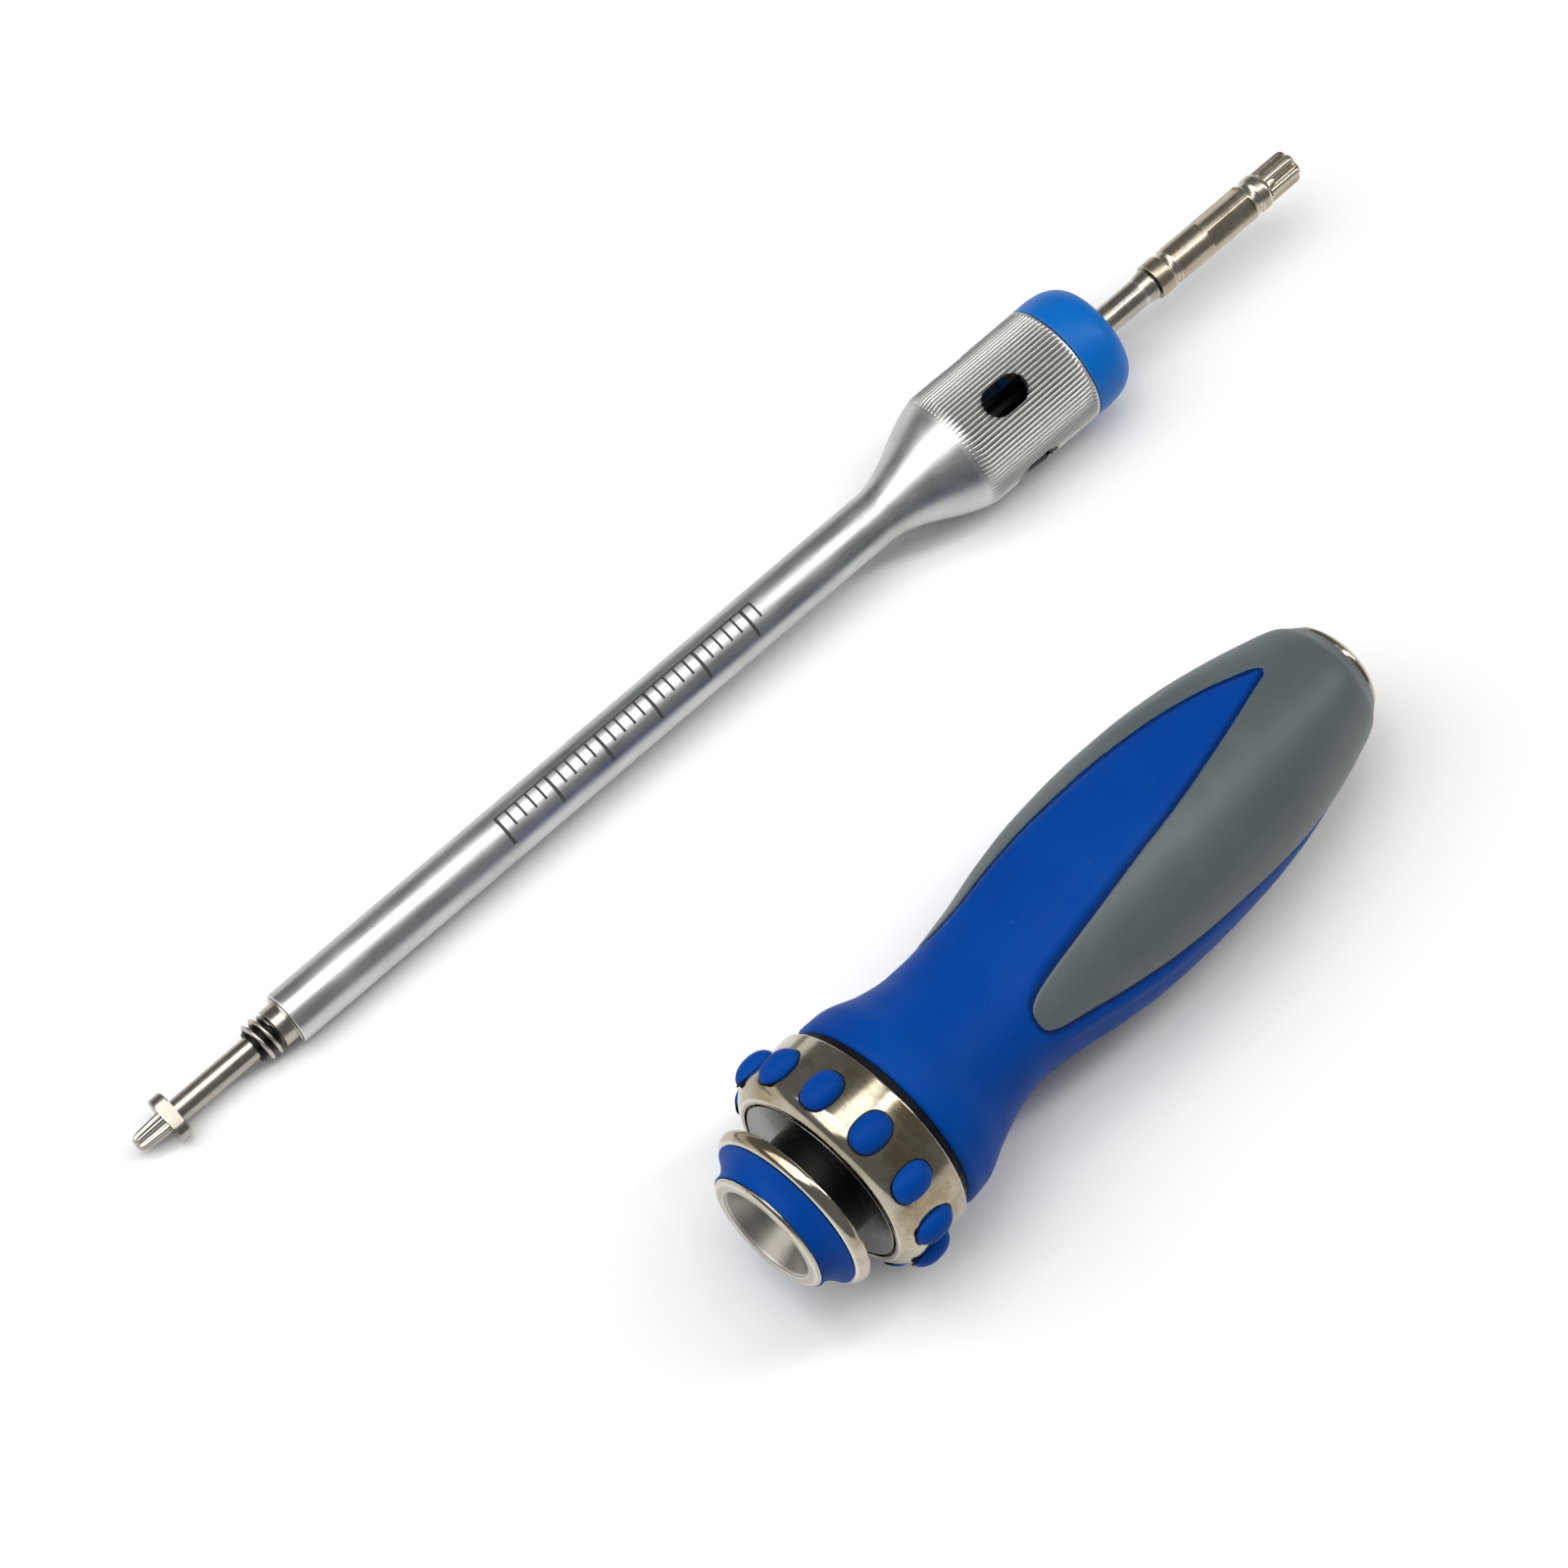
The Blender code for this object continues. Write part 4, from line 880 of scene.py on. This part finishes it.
def build_threaded_tip():
    """Nose of the sleeve: a short thread with a true lead, then the undercut before the tube. The crests take a
    painted highlight and the roots painted shade.
    """
    front, rear, pitch, crest, root = 22.4, 28.8, 1.5, 3.48, 2.6
    thread_end, spigot_radius = 26.4, 3.3
    rows, edges = [], []
    steps, sides = 130, 96
    for step in range(steps + 1):
        station = front + (rear - front) * step / steps
        row, painted_light_marks = [], []
        for index in range(sides):
            share = index / sides
            turns = (station - front - 0.35) / pitch - share
            within = turns % 1.0
            started = ease((station - front) / 0.9) * ease((thread_end + 0.2 - station) / 0.9)
            ridge = max(cos(FULL_TURN * (within - 0.5)) * 0.7 + 0.3, 0.0) ** 0.5 * started
            reach = root + (crest - root) * ridge
            reach = max(reach, root + (spigot_radius - root) * ease((station - thread_end) / 0.25))
            row.append((reach * cos(FULL_TURN * share), reach * sin(FULL_TURN * share), station))
            # Painted highlight on the thread's crests.
            painted_light_marks.append(0.6 * ridge**4)
        rows.append(row)
        edges.append(painted_light_marks)
    for station in (rear, front):
        rows.append(circle(FRONT_BORE, station, sides))
        edges.append([0.0] * sides)
    mesh = grid_mesh("sleeve_thread", rows, edges, closed_along=True, crease=60.0)
    # Painted shade: the thread's roots are painted near-black.
    groove_shade = [face.center.z < thread_end * MM and near_axis(face, 2.85) for face in mesh.polygons]
    show("sleeve_thread", mesh, MATERIALS["satin_steel"], DRIVER, "sleeve", ["threaded_tip"])
    second_finish(mesh, PAINTED_SHADE_STEEL, groove_shade)
    spigot = [(28.75, 2.2), (28.75, 3.9, 0.1), (28.98, 3.95), (28.98, 3.3), (35.5, 3.3), (35.5, 2.2)]
    mesh = turned_mesh("thread_spigot", rounded(spigot), SMALL_ROUND)
    show("thread_spigot", mesh, MATERIALS["satin_steel"], DRIVER, "sleeve")


def flare_radius(station):
    """Outer radius of the tube and its S-curve up to the cup."""
    return TUBE_RADIUS + (FLARE_RADIUS - TUBE_RADIUS) * ease((station - FLARE_START) / FLARE_LENGTH)


def flare_bore(station):
    """Inner radius of the tube and its S-curve up to the cup."""
    return TUBE_BORE + (CUP_BORE - TUBE_BORE) * ease((station - FLARE_START - 5.0) / 15.0)


def build_sleeve():
    """Outer sleeve: the satin tube with its flare, and the cup, fluted from the flare's shoulder back. The cup's
    inside is painted near-black as shade.
    """
    outline = [(29.05, TUBE_BORE, 0.1), (29.05, TUBE_RADIUS, 0.35)]
    stations = np.linspace(FLARE_START, CUP_FRONT, 24)
    outline += [(station, flare_radius(station)) for station in stations]
    outline += [(station, flare_bore(station)) for station in reversed(stations[6:])]
    mesh = turned_mesh("sleeve_tube", rounded(outline), ROUND)
    show("sleeve_tube", mesh, MATERIALS["satin_aluminium"], DRIVER, "sleeve", ["outer_sleeve"])

    def fluted(station, radius, angle):
        if radius < CUP_BORE + 0.3:
            return radius
        fade = ease((CUP_REAR - 0.35 - station) / 0.5)
        groove = CUP_RADIUS - FLUTE_DEPTH * fade * (1 - abs(cos(FLUTES / 2 * angle)) ** 0.8)
        return min(radius, groove)

    outer = [(station, min(flare_radius(station), CUP_RADIUS))
             for station in np.linspace(CUP_FRONT, 170.0, 25)]
    outer += [(station, CUP_RADIUS) for station in np.linspace(171.5, CUP_REAR - 0.9, 11)]
    outer += [(CUP_REAR - 0.6, CUP_RADIUS), (CUP_REAR - 0.35, CUP_RADIUS),
              (CUP_REAR, CUP_RADIUS - 0.05, 0.2)]
    inner = [(station, flare_bore(station)) for station in np.linspace(169.0, CUP_FRONT, 8)]
    outline = rounded(outer + [(CUP_REAR, CUP_BORE)] + inner)
    cup = turned_mesh("sleeve_cup", outline, FLUTES * 8, fluted)

    def windows(form):
        for number in range(WINDOWS):
            turn = WINDOW_ANGLE + 360.0 / WINDOWS * number
            place = Matrix.Translation((0.0, 0.0, WINDOW_STATION * MM)) @ along_axis(turn)
            prism(form, capsule_outline(WINDOW_LENGTH, WINDOW_WIDTH), 7.0, 12.5, place)

    cup = carved(cup, windows)
    # Painted shade: the cup's inner wall is painted near-black.
    inside = [near_axis(face, CUP_RADIUS - 0.9) for face in cup.polygons]
    show("sleeve_cup", cup, FLUTED, DRIVER, "sleeve")
    second_finish(cup, PAINTED_SHADE_STEEL, inside)


def build_scale_marks():
    """Plain etched scale on the tube: fine ticks, a longer one at every fifth, and a base line."""
    form = bmesh.new()
    form.verts.layers.float.new("edge")
    radius = TUBE_RADIUS + 0.006
    reach = radius * pi / 180

    def patch(start, end, low, high):
        steps = max(int((high - low) / 4), 1)
        for step in range(steps):
            angles = [low + (high - low) * (step + more) / steps for more in (0, 1)]
            corners = [(radius * cos(radians(angle)), radius * sin(radians(angle)), station)
                       for angle, station in ((angles[0], start), (angles[1], start), (angles[1], end),
                                              (angles[0], end))]
            form.faces.new([form.verts.new([value * MM for value in corner]) for corner in corners])

    line = SCALE_ANGLE - 2.5 / reach
    for index in range(int((SCALE_END - SCALE_START) / TICK_PITCH) + 1):
        station = SCALE_START + TICK_PITCH * index
        length, width = (5.0, 0.55) if index % 5 == 0 else (2.8, 0.4)
        patch(station - width / 2, station + width / 2, line, line + length / reach)
    patch(SCALE_START - 0.2, SCALE_END + 0.2, line - 0.3 / reach, line)
    bmesh.ops.remove_doubles(form, verts=form.verts, dist=1e-7)
    mesh = finish_mesh(form, "depth_scale")
    show("depth_scale", mesh_shell(mesh, 0.012), ETCH, DRIVER, "sleeve")


def build_sleeve_cap():
    """Blue rear cap of the cup, with its rounded shoulder and the hole that the rod leaves by."""
    outline = [(181.5, 8.65, 0.2), (188.2, 8.65), (188.2, 10.45, 0.25), (191.0, 10.48), (193.9, 10.1, 1.6),
               (196.2, 8.6, 1.9), (196.98, 6.2, 1.2), (196.98, 2.9, 0.25), (190.6, 2.9), (190.6, 4.25),
               (181.5, 4.25)]
    mesh = turned_mesh("sleeve_cap_body", rounded(outline, steps=8), ROUND)
    show("sleeve_cap_body", mesh, MATERIALS["blue_plastic"], DRIVER, "sleeve", ["sleeve_cap"])


def build_shank():
    """Quick-coupling shank: two ball grooves, four flats between them and a splined, rounded end."""
    outline = [(209.2, 0.0), (209.2, 3.1, 0.15), (212.0, 3.1, 0.15), (212.4, 2.75, 0.15), (213.0, 2.75, 0.15),
               (213.4, 3.1, 0.2), (230.3, 3.1, 0.2), (230.65, 2.75, 0.15), (231.3, 2.75, 0.15),
               (231.7, 3.1, 0.2), (233.3, 3.1, 0.3), (234.1, 2.6, 0.3), (235.6, 2.4), (235.6, 0.0)]
    body = turned_mesh("quick_shank_body", rounded(outline, closed=False), 96)

    def flats(form):
        for number in range(4):
            turn = Matrix.Rotation(radians(90.0 * number + SHANK_FLAT_ANGLE), 4, "Z")
            square = [(SHANK_FLAT, -4.0), (5.0, -4.0), (5.0, 4.0), (SHANK_FLAT, 4.0)]
            prism(form, square, 220.6, 230.0, turn)

    body = carved(body, flats)
    show("quick_shank_body", body, SHANK_NICKEL, DRIVER, "driver", ["quick_shank"])
    rows, edges = [], []
    steps, sides, front, rear = 40, 96, 233.9, 240.38
    for step in range(steps + 1):
        station = front + (rear - front) * step / steps
        end = max((station - 239.3) / 1.1, 0.0)
        size = (1 - end**2) ** 0.5 if end < 0.98 else 0.2
        row = []
        for index in range(sides):
            angle = FULL_TURN * index / sides
            wave = cos(6 * angle)
            reach = (2.66 + 0.24 * max(min(wave * 2.2, 1.0), -1.0)) * (0.72 + 0.28 * size)
            row.append((reach * cos(angle), reach * sin(angle), station))
        rows.append(row)
        # Painted highlight on the splines' lands.
        edges.append([0.5 * (1 if cos(6 * FULL_TURN * i / sides) > 0.2 else 0) for i in range(sides)])
    show("shank_splines", grid_mesh("shank_splines", rows, edges), SHANK_NICKEL, DRIVER, "driver")


# Scene


def refinish_cad():
    """The frame's own nodes, most of them inside, take the same finishes."""
    record_slots = {entry["node"]: entry["material_slot"] for entry in frame["record"]["subparts"]}
    for name, node in frame["nodes"].items():
        node.data.materials.clear()
        node.data.materials.append(MATERIALS[record_slots[name]])


def build_floor():
    """Pale matt table top under the object."""
    size = 1.6
    corners = [(-size, -size, 0.0), (size, -size, 0.0), (size, size, 0.0), (-size, size, 0.0)]
    mesh = bpy.data.meshes.new("table")
    mesh.from_pydata(corners, [], [(0, 1, 2, 3)])
    table = bpy.data.objects.new("table", mesh)
    tree, shader, made = new_material("table_top", 0.55)
    shade_drift = spread(tree, noise(tree, 6.0, 3.0), 0.3, 0.7)
    shade = colours(tree, shade_drift, (0.88, 0.88, 0.88), (0.92, 0.92, 0.92))
    tree.links.new(shade, shader.inputs["Base Color"])
    mesh.materials.append(made)
    table.location.z = CAD_BOX[0][2] - 0.00005
    bpy.context.scene.collection.objects.link(table)


def area_light(name, at, aim, size, power, colour=(1.0, 1.0, 1.0)):
    data = bpy.data.lights.new(name, "AREA")
    data.shape = "RECTANGLE"
    data.size, data.size_y = size
    data.energy = power
    data.color = colour
    light = bpy.data.objects.new(name, data)
    light.location = at
    light.rotation_euler = (Vector(aim) - Vector(at)).to_track_quat("-Z", "Y").to_euler()
    bpy.context.scene.collection.objects.link(light)


def build_light():
    """A pale room with one broad window light, a long strip and a light overhead."""
    world = bpy.data.worlds.new("room")
    world.use_nodes = True
    world.node_tree.nodes["Background"].inputs["Color"].default_value = (0.95, 0.97, 1.0, 1.0)
    world.node_tree.nodes["Background"].inputs["Strength"].default_value = 0.20
    bpy.context.scene.world = world
    bpy.context.scene.view_settings.view_transform = "Standard"
    area_light("window", (-0.55, 0.35, 0.85), (0.0, 0.0, 0.0), (0.9, 1.1), 8.6)
    area_light("strip", (0.65, -0.25, 0.75), (0.0, 0.0, 0.0), (0.12, 0.9), 3.8, (1.0, 0.97, 0.92))
    area_light("overhead", (0.05, 0.1, 1.3), (0.0, 0.0, 0.0), (0.8, 0.8), 5.8)


def build_camera():
    mouth = HANDLE.translation.copy()
    mouth.z = 0.0
    aim = mouth + VIEW_FROM_MOUTH
    data = bpy.data.cameras.new("camera")
    data.lens = LENS
    data.sensor_width = SENSOR
    camera = bpy.data.objects.new("camera", data)
    camera.location = aim + CAMERA_FROM_VIEW
    camera.rotation_euler = (-CAMERA_FROM_VIEW).to_track_quat("-Z", "Y").to_euler()
    bpy.context.scene.collection.objects.link(camera)
    bpy.context.scene.camera = camera


refinish_cad()
build_blue_grip()
build_grey_petals()
build_rear_cap()
build_ring()
build_spindle()
build_springs()
build_collar()
build_rod()
build_threaded_tip()
build_sleeve()
build_scale_marks()
build_sleeve_cap()
build_shank()
build_floor()
build_light()
build_camera()
